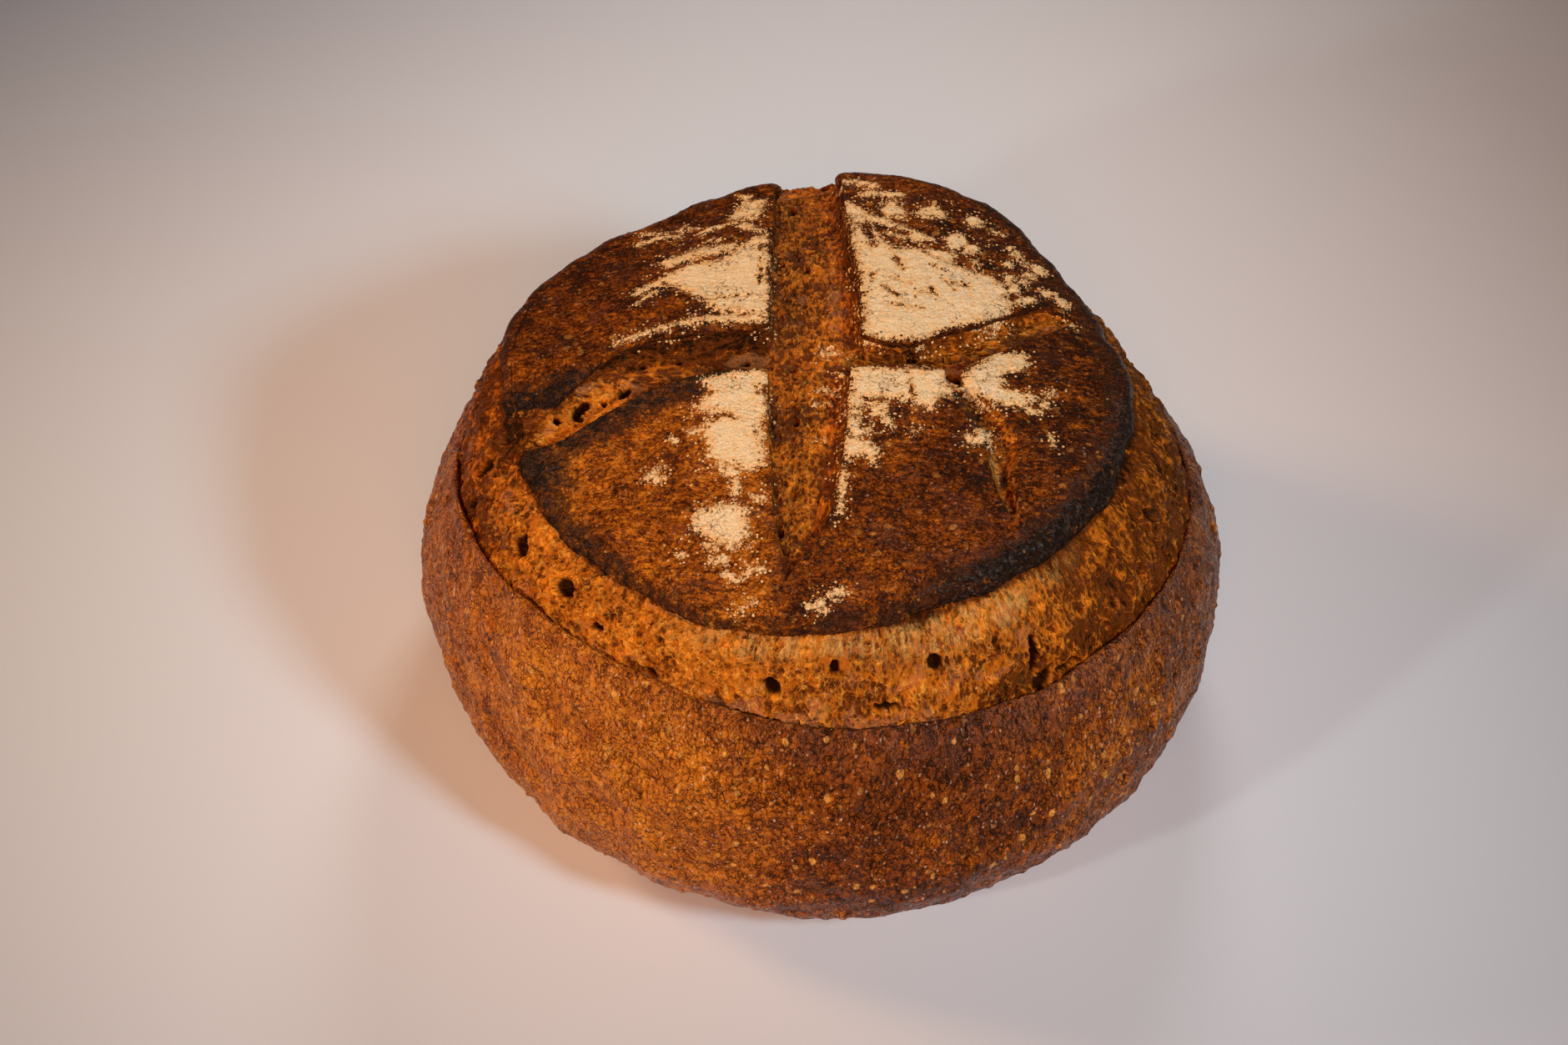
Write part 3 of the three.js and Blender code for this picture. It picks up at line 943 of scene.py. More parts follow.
def make_wall():
    """The wall's grid with its relief; `bake` says how dark each side is, partly as painted light and shade.
    """
    points, rows = swept(wall_section, WALL_COLUMNS)
    points, faces = capped(points, rows, WALL_COLUMNS, FOOT_LIFT, HIDDEN_POLE_HEIGHT)
    bearing, height = bearing_of(points), points[:, 2]
    row = np.minimum(np.arange(len(points)) // WALL_COLUMNS, rows - 1)
    relief = ((row > 1) & (row < rows - HIDDEN_LIP_ROWS)).astype(float)
    relief *= np.where(row >= rows - len(LIP_SECTION) - 1, LIP_RELIEF, 1.0) * smooth(-0.6, 2.4, height)
    under_lip = around(LIP_HEIGHT, np.radians(bearing)) - height
    bake_and_light = [facing(bearing, at, near, far) for at, near, far, _ in WALL_BAKE_AND_LIGHT]
    right, left = bake_and_light[:2]
    bake = WALL_BAKE + sum(tone * darker for tone, (*_, darker) in zip(bake_and_light, WALL_BAKE_AND_LIGHT))
    bake += 0.08 * smooth(12, 1, under_lip) - 0.10 * smooth(26, 8, height)
    bake -= SCAB_PALENESS * ovals_round(bearing, height, WALL_RADIUS, PALE_SCABS)
    slit = ovals_round(bearing, height, WALL_RADIUS, WALL_SLITS)
    # The last rows, behind the lip, are painted darker.
    behind = (row >= rows - DARKENED_LIP_ROWS).astype(float)
    stretch = 1.0 + 0.5 * right + 0.1 * left
    flow = unrolled(bearing, WALL_RADIUS, (row - UNDERSIDE_ROWS) * ROW_HEIGHT / stretch)
    # Near the lip, more on the right, the wall is greyed as a painted sheen.
    fields = {"relief": relief, "bake": bake + 0.35 * behind, "char": 0.25 * behind + slit * 1.2,
              "pull": flow * MM, "smoke_and_sheen": smooth(15, 3, under_lip) * (0.25 + 0.5 * right), "torn": slit}
    return grow(mesh_piece("wall_crust", points, faces, fields), CRUST_RELIEF, WALL_CRUST,
                Lump_size=21.0, Lump_height=6.0, Dimple_height=1.1, Grain_size=2.4, Grain_height=0.45,
                Blister_height=0.6, Welt_height=0.7, Tear_depth=1.6)


wall_crust = make_wall()

# %% [markdown]
# ## The torn band
#
# Above the lip the crumb tore open as the lid rose. The band is a second sweep, from behind the lip up to
# under the lid's rim. It carries a bubble web drawn out up the slope, a few large pores given one by one,
# and three maps: how toasted it is, where it stayed pale under the lid, and where the pores are.

# %% Torn band
BAND_COLUMNS = 1180
BAND_ROWS = 68
BAND_START, BAND_END = -0.13, 1.06  # a little below its foot and above its top, as shares of the way up
BAND_FOOT_IN, BAND_FOOT_DOWN = 1.6, 1.8  # where its foot lies behind and below the lip
BAND_LENGTH = 36.0
BAND_RADIUS = 95.0
BAND_STRETCH = 1.8
BAND_POLES = (60.0, 88.0)
# The ring that closes the band under the lid: how far in from the rim, and how far down from it.
CLOSING_INSET, CLOSING_DROP = 12.0, 8.5
CLOSING_DEPTH = 7.5  # and how far below the floor of the cuts, so that no pore reaches it
PORE_WIDENING, PORE_LENGTHENING = 1.3, 1.25
# Large pores: bearing in degrees, share of the way up, half-width round the loaf and up it in mm, tilt.
BAND_PORES = [
    (224.5, 0.49, 2.5, 3.4, 0), (212.5, 0.47, 2.0, 4.2, 15), (193.3, 0.55, 1.6, 5.0, -10),
    (200.5, 0.48, 1.5, 2.5, 20), (232.5, 0.29, 1.3, 1.6, 0), (223.0, 0.05, 1.8, 0.9, 0),
    (219.5, 0.03, 2.6, 0.8, 0), (261.5, 0.35, 1.6, 2.8, 12), (303.0, 0.30, 1.2, 5.2, -6),
    (303.8, 0.06, 2.4, 1.9, 25), (308.5, 0.08, 2.6, 1.0, 0), (327.5, 0.28, 1.1, 2.6, 0),
    (319.8, 0.28, 1.0, 1.8, 0), (259.2, 0.01, 4.2, 1.0, -5), (354.5, 0.69, 1.4, 1.4, 0),
    (287.0, 0.52, 1.6, 2.2, 10), (271.0, 0.60, 1.0, 2.0, 0), (243.0, 0.10, 1.5, 1.4, 0),
    (278.5, 0.22, 2.6, 1.2, 0), (335.0, 0.55, 1.3, 2.4, 15), (345.0, 0.35, 1.4, 1.8, 0),
    (20.0, 0.45, 1.6, 3.0, 0), (48.0, 0.55, 2.0, 2.6, 20), (75.0, 0.40, 1.4, 3.4, 0),
    (108.0, 0.50, 2.2, 3.0, -10), (131.0, 0.35, 1.5, 2.0, 0), (156.0, 0.55, 1.8, 3.6, 0),
]
# Sides where the band is toasted more or less: bearing, degrees at full strength, to nothing, toast.
BAND_TONES = [(-10, 25, 70, 0.60), (90, 60, 100, 0.20), (178, 15, 40, 0.62), (232, 15, 45, -0.22)]


def band_section(angle):
    """Radius and height of the band from behind the lip to under the rim: rows by columns."""
    low_radius = around(LIP_RADIUS, angle) - BAND_FOOT_IN
    low_height = around(LIP_HEIGHT, angle) - BAND_FOOT_DOWN
    high_radius = around(RIM_RADIUS, angle) - RIM_OVERHANG
    high_height = around(RIM_HEIGHT, angle) + RIM_OVERHANG / 2
    share = np.linspace(BAND_START, BAND_END, BAND_ROWS)[:, None]
    swell = BAND_BULGE * np.sin(np.clip(share, 0, 1) * np.pi)
    radius = low_radius + (high_radius - low_radius) * share + swell
    height = low_height + (high_height - low_height) * share + swell
    radius = np.vstack([radius, high_radius - CLOSING_INSET])
    return radius, np.vstack([height, high_height - CLOSING_DROP])


def band_pores(bearing, share):
    """The large pores, from 0 to 1 in the deepest place."""
    ovals = [(at, up * BAND_LENGTH, half_width * PORE_WIDENING, half_length * PORE_LENGTHENING, tilt)
             for at, up, half_width, half_length, tilt in BAND_PORES]
    return ovals_round(bearing, share * BAND_LENGTH, BAND_RADIUS, ovals)


def make_band():
    """The band's grid with its relief. Where a cut opens into it, it sinks to the cut's floor."""
    points, rows = swept(band_section, BAND_COLUMNS)
    bearing = bearing_of(points)
    row = np.arange(len(points)) // BAND_COLUMNS
    share = BAND_START + (BAND_END - BAND_START) * row / (BAND_ROWS - 1)
    open_floor, inside = cut_floor(points[:, 0], points[:, 1])
    opened, closing = inside > 0, row == rows - 1
    points[opened, 2] = np.minimum(points[opened, 2], open_floor[opened])
    points[closing, 2] = np.minimum(points[closing, 2], open_floor[closing] - CLOSING_DEPTH)
    shown = ((row > 0) & (row < rows - 2)).astype(float)
    flow = unrolled(bearing, BAND_RADIUS, share * BAND_LENGTH / BAND_STRETCH)
    lowered = opened & (points[:, 2] >= open_floor - 0.01)
    flow[lowered] = points[lowered]
    waving = share + 0.06 * np.sin(np.radians(bearing) * 9)
    pale = facing(bearing, 280, 18, 42) * smooth(0.56, 0.72, waving) * smooth(0.92, 0.84, share)
    toast = 0.42 + 0.24 * smooth(0.45, 0.1, share) + 0.8 * smooth(0.84, 0.92, share) * (inside < 0.5)
    for at, near, far, darker in BAND_TONES:
        toast += darker * facing(bearing, at, near, far)
    under_rim = smooth(0.91, 0.96, share) * (inside < 0.5)
    fields = {"relief": shown, "hole": band_pores(bearing, share), "skin": under_rim, "toast": toast,
              "film": 0 * share, "pale": pale, "flour": 0 * share + NO_FLOUR, "pull": flow * MM}
    points, faces = capped(points, rows, BAND_COLUMNS, *BAND_POLES)
    fields = with_hidden(2, fields, flour=NO_FLOUR)
    return grow(mesh_piece("torn_band", points, faces, fields), CRUMB_RELIEF, CRUMB, Clump_height=4.4,
                Fibre_height=2.2, Foam_size=3.0, Foam_depth=1.5, Pore_size=6.5, Pore_depth=2.6)


# %% [markdown]
# ## The cuts
#
# Two cuts cross on the lid, and the crust beside them pulled back as the loaf rose. Their edges are drawn
# as smooth curves through a few points in plan. Each point also says how widely the wall under that edge
# slopes, because one side of a cut stands steep while the other lies back.

# %% Edges of the cuts
# Points from the rim, or from past it, to the crossing or a tip: x, y and the width of the wall in mm.
NORTH_LEFT = [(-14, 99, 1.6), (-14.5, 77, 1.6), (-15.5, 47, 1.6), (-15.5, 30, 1.8), (-16, 13, 2.5)]
WEST_UPPER = [(-96, -26, 4), (-86, -21, 5), (-81, -18.5, 7), (-74, -9, 11), (-66, 0, 15), (-61, 5, 17),
              (-52, 10, 17), (-43, 12, 15), (-32, 13, 10), (-16, 13, 2.5)]
WEST_LOWER = [(-96, -33, 2), (-82, -28, 2), (-76, -26, 2), (-70, -24, 2), (-62, -19.5, 2), (-54, -15, 2),
              (-43, -9.5, 2), (-31, -7, 2), (-16, -6, 1.8)]
SOUTH_LEFT = [(-11, -77, 1.2), (-12, -72, 1.2), (-14, -56, 1.4), (-15, -41, 1.5), (-16, -18, 1.6),
              (-16, -6, 1.8)]
SOUTH_RIGHT = [(-11, -77, 1.5), (-7.5, -71.5, 2), (-2, -64, 3), (2, -53, 4), (4, -41, 5), (6, -24, 5),
               (7, -6, 3)]
EAST_LOWER = [(72, 22.5, 1.5), (60, 12, 2.5), (48, 3, 3), (39, -4, 2), (35, -11, 2), (32, -7.5, 1.8),
              (25, -5, 2), (16, -5, 2), (7, -6, 3)]
EAST_UPPER = [(72, 22.5, 1.5), (61, 25.5, 2.5), (49, 20, 3), (40, 14, 3), (32, 10, 3), (25, 6, 2.5),
              (18, 5, 2), (10, 8, 2.5)]
NORTH_RIGHT = [(6.5, 99, 5), (6, 87, 5), (8, 49, 5), (10, 33, 5), (10, 8, 2.5)]
EDGE_STEPS = 28
KNOT_STEPS = 24  # steps of a curve between two of the points that it goes through


def spaced(line, count):
    """Points an equal way apart along a line in plan. A third value of the line comes along."""
    length = np.append(0, np.cumsum(np.hypot(*np.diff(line[:, :2], axis=0).T)))
    places = np.linspace(0, length[-1], count)
    return np.stack([np.interp(places, length, column) for column in line.T], -1)


def curve_through(points, count):
    """A smooth curve through some points, as `count` points an equal way apart."""
    knots = np.array(points, float)
    knots = np.vstack([2 * knots[0] - knots[1], knots, 2 * knots[-1] - knots[-2]])
    t = np.linspace(0, 1, KNOT_STEPS, endpoint=False)[:, None]
    pieces = []
    for a, b, c, d in zip(knots, knots[1:], knots[2:], knots[3:]):
        pieces.append(0.5 * (2 * b + (c - a) * t + (2 * a - 5 * b + 4 * c - d) * t ** 2
                             + (3 * b - a - 3 * c + d) * t ** 3))
    return spaced(np.vstack([*pieces, knots[-2]]), count)


def nearest(line, x, y, closed=False):
    """Distance from places to a line of points, and the line's extra value at the nearest place."""
    ends = np.roll(line, -1, axis=0) if closed else line[1:]
    starts = line if closed else line[:-1]
    best = np.full(x.shape, 1e9)
    value = np.zeros(x.shape)
    for start, end in zip(starts, ends):
        along = end[:2] - start[:2]
        t = ((x - start[0]) * along[0] + (y - start[1]) * along[1]) / max(along @ along, 1e-9)
        t = np.clip(t, 0, 1)
        distance = (x - start[0] - t * along[0]) ** 2 + (y - start[1] - t * along[1]) ** 2
        closer = distance < best
        best = np.where(closer, distance, best)
        if line.shape[1] > 2:
            value = np.where(closer, start[2] + (end[2] - start[2]) * t, value)
    return np.sqrt(best), value


def inside_of(line, x, y):
    """True inside a closed outline."""
    inside = np.zeros(x.shape, bool)
    for (x0, y0), (x1, y1) in zip(line[:, :2], np.roll(line[:, :2], -1, axis=0)):
        if y0 != y1:
            crosses = (y0 > y) != (y1 > y)
            inside ^= crosses & (x < x0 + (y - y0) / (y1 - y0) * (x1 - x0))
    return inside


north_left, west_upper, west_lower, south_left, south_right, east_lower, east_upper, north_right = (
    curve_through(edge, EDGE_STEPS) for edge in (
        NORTH_LEFT, WEST_UPPER, WEST_LOWER, SOUTH_LEFT, SOUTH_RIGHT, EAST_LOWER, EAST_UPPER, NORTH_RIGHT))
CUT_OUTLINE = np.vstack([north_left, west_upper[-2::-1], west_lower, south_left[-2::-1], south_right[1:],
                         east_lower[-2::-1], east_upper[1:], north_right[-2::-1]])
print("outline of the cuts:", len(CUT_OUTLINE), "points")

# %% Floor of the cuts
SOUTH_DEPTHS = [(-78, 1.0), (-70, 2.5), (-60, 4.5), (-36, 6.5), (-4, 7.0), (28, 6.5), (62, 6.5), (98, 7.0)]
WEST_DEPTHS = [(-94, 6.5), (-80, 6.0), (-66, 6.5), (-52, 7.0), (-16, 7.0)]
EAST_DEPTHS = [(10, 7.0), (31, 7.0), (46, 5.0), (60, 4.0), (72, 1.0)]
EDGE_DROP = 1.1  # the crumb starts this far below the crust's top


def full_depth(x, y):
    """Depth of the cuts' floor away from their walls."""
    spine = np.interp(y, *zip(*SOUTH_DEPTHS))
    west = np.interp(x, *zip(*WEST_DEPTHS))
    east = np.interp(x, *zip(*EAST_DEPTHS))
    depth = spine + (west - spine) * smooth(-14, -22, x) * (y < 20) * (y > -40)
    return depth + (east - depth) * smooth(6, 14, x) * (y < 40) * (y > -20)


def cut_floor(x, y):
    """Height of the crumb in the cuts, and how far inside the cuts' outline a place is."""
    distance, wall = nearest(CUT_OUTLINE, x, y, closed=True)
    inside = np.where(inside_of(CUT_OUTLINE, x, y), distance, -distance)
    from_west, west_wall = nearest(west_upper, x, y)
    reached = np.minimum(inside / np.maximum(wall, 0.5), from_west / np.maximum(west_wall, 0.5))
    share = np.sin(np.clip(reached, 0, 1) * np.pi / 2)
    depth = EDGE_DROP + (full_depth(x, y) - EDGE_DROP) * share
    return lid_height(x, y) - np.where(inside > 0, depth, EDGE_DROP), inside


torn_band = make_band()

# %% [markdown]
# ## Flour patches
#
# Flour was dusted on before baking and kept crisp outlines where the crust grew and parted. A patch is a
# closed outline in plan, and a speck or streak is a short stroke with a half-width. From both comes one
# value for each point of the lid: how far inside the flour it lies, in millimetres, below zero outside.

# %% Flour outlines
FLOUR_PATCHES = [
    [(-48, 35), (-38, 42), (-28, 43), (-22, 53), (-16, 55), (-15.5, 34), (-16, 16), (-30, 19), (-37, 28)],
    [(-47, 45), (-33, 51), (-24, 52), (-25, 48), (-35, 46), (-44, 42)],
    [(-48, 12), (-36, 16), (-16, 16), (-16, 13), (-32, 13)],
    [(-28, 66), (-23, 75), (-17, 75), (-17, 66), (-20, 65)],
    [(6, 70), (10, 66), (13, 60), (16, 49), (20, 45), (36, 45), (36, 39), (47, 35), (51, 31), (51, 21),
     (46, 16), (37, 14), (26, 6), (16, 6), (11, 7), (10, 33), (8, 50)],
    [(11, 63), (29, 52), (33, 48), (28, 47), (17, 54)],
    [(16, 67), (21, 69), (23, 65), (23, 60), (18, 61)],
    [(26, 63), (32, 69), (35, 65), (35, 61), (28, 61)],
    [(-33, -9), (-24, -7), (-17, -6), (-16, -12), (-16, -24), (-17, -29), (-16, -40), (-20, -42), (-28, -39),
     (-31, -37), (-33, -29), (-32, -25), (-26, -23), (-35, -19), (-30, -15)],
    [(-35, -55), (-33, -53), (-24, -52), (-21, -55), (-20, -66), (-26, -67), (-30, -62), (-35, -58)],
    [(7, -6), (32, -6), (34, -16), (27, -21), (23, -18), (10, -17), (9, -29), (15, -31), (6, -31), (5, -26),
     (6, -19)],
    [(10, -19), (16, -19), (17, -23), (12, -25)],
    [(5, -32), (11, -33), (14, -36), (12, -40), (8, -38), (4, -41)],
    [(35, -12), (38, -7), (46, 2), (54, 2), (55, -4), (48, -5), (48, -12), (56, -15), (54, -19), (44, -18),
     (38, -15)],
    [(39, -28), (43, -26), (43, -34), (39, -33)],
]
# Bare places inside the patches, where the flour cracked or fell off: x, y, x, y and half-width.
FLOUR_GAPS = [
    (-18, 50, -18, 46, 0.9), (-18, 42, -17.6, 36, 0.8), (-18, 33, -18, 30, 0.7), (-33, 24, -20, 25, 0.7),
    (20, 31, 24, 29, 1.2), (13, 33, 13, 30, 0.8), (16, 28, 20, 24, 0.9), (26, 26, 29, 26, 0.7),
    (19, 20, 27, 19, 0.9), (33, 32, 36, 28, 0.8), (-28, -22, -24, -24, 1.4), (22, -6, 23, -17, 0.5),
    (12, -18, 22, -18, 0.8), (30, 38, 33, 36, 0.9), (-19, -12, -18, -16, 0.9), (-19, -30, -18, -34, 0.8),
    (12, 57, 14, 47, 4.0), (15, 56, 23, 52, 4.0), (22, 50, 32, 47, 2.6), (29, 27, 31, 25, 2.4),
    (20, 40, 22, 36, 1.6), (28, 44, 33, 41, 2.0), (36, 30, 40, 30, 1.6),
]
# Specks and streaks outside them, measured in the same way.
FLOUR_STROKES = [
    (-52, 31, -46, 35, 0.9), (-52, 26, -47, 30, 0.7), (-57, 9, -48, 12, 0.6), (-53, 58, -48, 61, 0.6),
    (-48, 61, -42, 60, 0.9), (-53, 65, -41, 63, 0.6), (-35, 60, -28, 64, 0.8), (-28, 64, -21, 65, 0.8),
    (-33, 55, -27, 56, 0.6), (-23, 62, -18, 57, 1.2), (-23, 79, -22, 78, 0.8), (-40, 65, -36, 63, 0.8),
    (6, 80, 15, 77, 1.2), (12, 73, 22, 72, 0.8), (43, 61, 43, 61, 2.3), (48, 57, 51, 56, 0.7),
    (37, 49, 38, 50, 3.3), (41, 47, 42, 47, 2.1), (42, 41, 42, 40, 1.2), (53, 50, 55, 48, 0.8),
    (55, 47, 57, 44, 0.7), (52, 43, 52, 42, 0.9), (60, 43, 61, 41, 1.4), (57, 39, 59, 39, 1.2),
    (52, 36, 53, 31, 1.6), (56, 35, 56, 35, 1.2), (61, 32, 64, 32, 1.4), (66, 30, 67, 28, 1.2),
    (54, 26, 58, 28, 1.2), (67, 23, 68, 20, 0.8), (-36, -28, -32, -27, 0.9), (-27, -41, -24, -43, 0.9),
    (-24, -45, -24, -49, 0.9), (-31, -65, -28, -66, 0.9), (-29, -69, -27, -69, 1.2),
    (-38, -67, -38, -67, 0.9), (-19, -51, -17, -51, 1.0), (-26, -74, -23, -76, 0.9),
    (-22, -75, -20, -73, 0.9), (-20, -73, -17, -73, 0.8), (-23, -83, -19, -82, 0.6),
    (-47, -41, -43, -38, 0.7), (-45, -42, -43, -42, 0.7), (-41, -29, -40, -30, 0.7), (4, -42, 4, -50, 0.9),
    (4, -50, 3, -56, 0.7), (54, -20, 57, -21, 0.6), (58, -18, 59, -17, 0.9), (60, -13, 61, -12, 0.7),
    (59, -29, 60, -33, 0.3), (16, -25, 17, -28, 0.7), (22, -30, 24, -29, 0.7), (37, -31, 38, -33, 0.6),
    (-2, -8, 0, -8, 0.9), (-3, -13, 1, -13, 1.0), (2, -9, 3, -8, 0.8), (-3, -26, -2, -26, 0.6),
    (0, 9, 2, 10, 0.9), (-1, 6, 3, 7, 0.7), (4, -2, 5, -3, 0.9), (27, 1, 27, -3, 1.6), (45, 5, 46, 4, 0.8),
    (-5, -84, -2, -83, 1.0), (-2, -85, -1, -85, 0.8), (1, -81, 3, -80, 0.9),
]
# Places with a thin dusting only: x, y, half-width, half-length and tilt.
FLOUR_DUST = [(40, 44, 30, 22, -35), (14, 66, 16, 16, 0), (44, -8, 18, 14, 0), (-28, -30, 16, 34, 0),
              (-40, 50, 22, 16, 0)]
DUST_STRENGTH = 6.5  # what the middle of a thin dusting adds to NO_FLOUR
STROKE_FADE, GAP_FADE = 1.3, 1.6  # how fast a stroke and a gap fade with distance
GAP_CORE, GAP_EDGE = 0.4, 0.3  # how bare a gap is in its middle, and how much flour its edge keeps


def reach_into(outline, x, y):
    """How far inside a closed outline a place is; negative outside it."""
    distance = nearest(outline, x, y, closed=True)[0]
    return np.where(inside_of(outline, x, y), distance, -distance)


def from_stroke(x, y, x0, y0, x1, y1):
    """Distance from places to a straight stroke."""
    return nearest(np.array([(x0, y0), (x1, y1)], float), x, y)[0]


def flour_reach(x, y):
    """How far inside the flour a place is, in millimetres; negative outside it."""
    reach = np.full(x.shape, NO_FLOUR)
    for patch in FLOUR_PATCHES:
        reach = np.maximum(reach, reach_into(np.array(patch, float), x, y))
    for *ends, half_width in FLOUR_STROKES:
        reach = np.maximum(reach, (half_width - from_stroke(x, y, *ends)) * STROKE_FADE)
    for *ends, half_width in FLOUR_GAPS:
        reach = np.minimum(reach, (from_stroke(x, y, *ends) - half_width * GAP_CORE) * GAP_FADE + GAP_EDGE)
    return np.maximum(reach, holes_at(x, y, FLOUR_DUST) * DUST_STRENGTH + NO_FLOUR)


# %% [markdown]
# ## The lid's plates
#
# The crossing cuts leave four plates. Three of them still hang together beyond the cuts' tips, and the
# fourth is a free flap. Each plate is a four-sided grid: two sides run along its cut edges and two along
# the rim, and the inside is blended from the sides. So the mesh follows every edge exactly, and the
# edges stay crisp. Shared sides are welded, and then a strip is added all round that rolls the edge over
# into the rim's wall or the cut's wall, and turns under.

# %% Plate grids
FLAP_STEPS, SHORT_STEPS = 190, 140  # points along a side that ends on the rim, for the flap and the rest
LONG_STEPS = 170  # points along a side that runs on past a cut's tip,
TIP_STEPS = 18  # and how many of them lie between the tip and the rim, where two plates hang together
SOUTH_TIP_BEARING = 262.6
EAST_TIP_BEARING = 16.6
# The slight ripples of the rim: how many round the loaf, height in mm and start in radians.
RIM_RIPPLES = [(7, 0.6, 1.0), (13, 0.45, 2.1), (22, 0.35, 0.4), (37, 0.25, 3.0)]


def rim_roundness(bearing):
    """How much of the usual rounding the rim has; the burnt front right has a harder edge."""
    return 1.0 - 0.45 * facing(bearing, -38, 25, 60)


def on_rim(bearing):
    """A point in plan where the lid's top meets its rounded rim."""
    angle = np.radians(bearing)
    ripple = sum(height * np.sin(count * angle + start) for count, height, start in RIM_RIPPLES)
    radius = around(RIM_RADIUS, angle) - RIM_ROUNDING * rim_roundness(bearing) + ripple
    return np.stack([radius * np.cos(angle), radius * np.sin(angle)], -1)


def trimmed(edge):
    """The part of an edge inside the rim, from the crossing outwards, ending on the rim."""
    edge = edge[::-1, :2]
    bearing = np.degrees(np.arctan2(edge[:, 1], edge[:, 0]))
    limit = np.hypot(*on_rim(bearing).T)
    radius = np.hypot(*edge.T)
    out = int(np.argmax(radius > limit)) or len(edge) - 1
    share = (limit[out - 1] - radius[out - 1]) / ((radius - limit)[out] - (radius - limit)[out - 1])
    return np.vstack([edge[:out], edge[out - 1] + (edge[out] - edge[out - 1]) * np.clip(share, 0.01, 1)])


def to_rim(edge, count):
    """A side that runs along a cut's edge and ends where the edge meets the rim."""
    return spaced(trimmed(edge), count)


def to_tip(edge, tip_bearing):
    """A side that runs along a cut's edge to its tip and on to the rim."""
    line = edge[::-1, :2]
    seam = np.linspace(line[-1], on_rim(tip_bearing), TIP_STEPS + 1)
    return np.vstack([spaced(line, LONG_STEPS - TIP_STEPS), seam[1:]])


def rim_arc(side, corner_bearing, count):
    """The rim from the far end of a side to a plate's corner."""
    start = math.degrees(math.atan2(side[-1][1], side[-1][0]))
    start += 360 * round((corner_bearing - start) / 360)
    return on_rim(np.linspace(start, corner_bearing, count))


def plate_grid(first, second, corner_bearing):
    """Blends a grid from two sides that start at one corner and the rim beyond them."""
    far_second = rim_arc(first, corner_bearing, len(second))
    far_first = rim_arc(second, corner_bearing, len(first))
    u = np.linspace(0, 1, len(first))[:, None, None]
    v = np.linspace(0, 1, len(second))[None, :, None]
    ruled = (1 - v) * first[:, None] + v * far_first[:, None] + (1 - u) * second[None] + u * far_second[None]
    corners = (1 - u) * (1 - v) * first[0] + u * (1 - v) * first[-1] + (1 - u) * v * second[-1]
    return ruled - corners - u * v * far_first[-1]


def plate_sides():
    """The two inner sides of each plate, and the bearing of the corner opposite them."""
    return {
        "flap": (to_rim(west_upper, FLAP_STEPS), to_rim(north_left, FLAP_STEPS), 142),
        "south_west": (to_rim(west_lower, SHORT_STEPS), to_tip(south_left, SOUTH_TIP_BEARING), 229),
        "south_east": (to_tip(east_lower, EAST_TIP_BEARING), to_tip(south_right, SOUTH_TIP_BEARING), -41),
        "north_east": (to_tip(east_upper, EAST_TIP_BEARING), to_rim(north_right, SHORT_STEPS), 51),
    }


def turns_left(u, v):
    """True where the second of two vectors in plan lies to the left of the first."""
    return u[..., 0] * v[..., 1] - u[..., 1] * v[..., 0] > 0


def grid_faces(grid):
    """Quads of a grid in plan that face up."""
    rows, columns = grid.shape[:2]
    row, column = np.meshgrid(np.arange(rows - 1), np.arange(columns - 1), indexing="ij")
    a = row * columns + column
    quads = np.stack([a, a + columns, a + columns + 1, a + 1], -1).reshape(-1, 4)
    return quads if turns_left(grid[-1, 0] - grid[0, 0], grid[0, -1] - grid[0, 0]) else quads[:, ::-1]


def weld(grids):
    """Joins grids at the points that they share."""
    plan = np.vstack([grid.reshape(-1, 2) for grid in grids])
    starts = np.cumsum([0] + [grid.shape[0] * grid.shape[1] for grid in grids])
    faces = np.vstack([grid_faces(grid) + start for grid, start in zip(grids, starts)])
    _, first, place = np.unique(plan.round(4), axis=0, return_index=True, return_inverse=True)
    return plan[first], place.ravel()[faces]


def open_edges(faces):
    """The edges round a sheet of faces: pairs of points that one face alone has."""
    starts, ends = faces.ravel(), np.roll(faces, -1, axis=1).ravel()
    pairs = set(zip(starts.tolist(), ends.tolist()))
    return [(a, b) for a, b in pairs if (b, a) not in pairs]


def border_of(faces):
    """The points round a sheet of faces, in the order of its boundary."""
    following = dict(open_edges(faces))
    first = min(following)
    loop = [first]
    while following[loop[-1]] != first:
        loop.append(following[loop[-1]])
    assert len(loop) == len(following), "a sheet has more than one border"
    return np.array(loop)


print("plates:", {name: len(sides[0]) * len(sides[1]) for name, sides in plate_sides().items()}, "points")

# %% Fields of the lid
# The tear in the front right, and the dark crust along its left side, partly burnt and partly painted
# shadow: x, y and half-width.
TEAR = [(34, -9, 3.0), (38, -16, 4.2), (43, -24, 5.6), (46, -32, 5.4), (45.5, -41, 3.4), (46.5, -48, 2.8),
        (48, -54, 1.8)]
TEAR_SHADE = [(33, -12, 1.6), (37, -20, 2.2), (41, -29, 2.4), (43, -36, 1.0)]
# Holes and pale crumb in it: x, y, half-width, half-length and tilt.
TEAR_HOLES = [(46.2, -43.5, 1.4, 3.4, 4), (36, -12, 3.0, 4.0, 10), (21.5, -24, 1.6, 2.8, 25),
              (40, -22, 1.0, 4.0, -20)]
TEAR_PALE = [(44.0, -40, 2.0, 8.0, 4), (48, -53, 1.8, 2.4, 0)]
# How far the burnt edge reaches in from the rim: bearing and millimetres.
CHAR_REACH = [(-180, 5), (-168, 6), (-162, 12), (-150, 11), (-125, 7), (-95, 3.5), (-75, 6), (-45, 14),
              (-20, 16), (0, 15), (20, 15), (45, 11), (65, 7), (100, 4), (130, 5), (180, 5)]
FLOUR_SHED = 3.0  # how much less flour, in millimetres of reach, holds on an edge
LID_BAKE = 0.58


def across_line(line, x, y):
    """Distance from places to a line of varying half-width, in half-widths."""
    distance, half_width = nearest(np.array(line, float), x, y)
    return distance / np.maximum(half_width, 0.5)


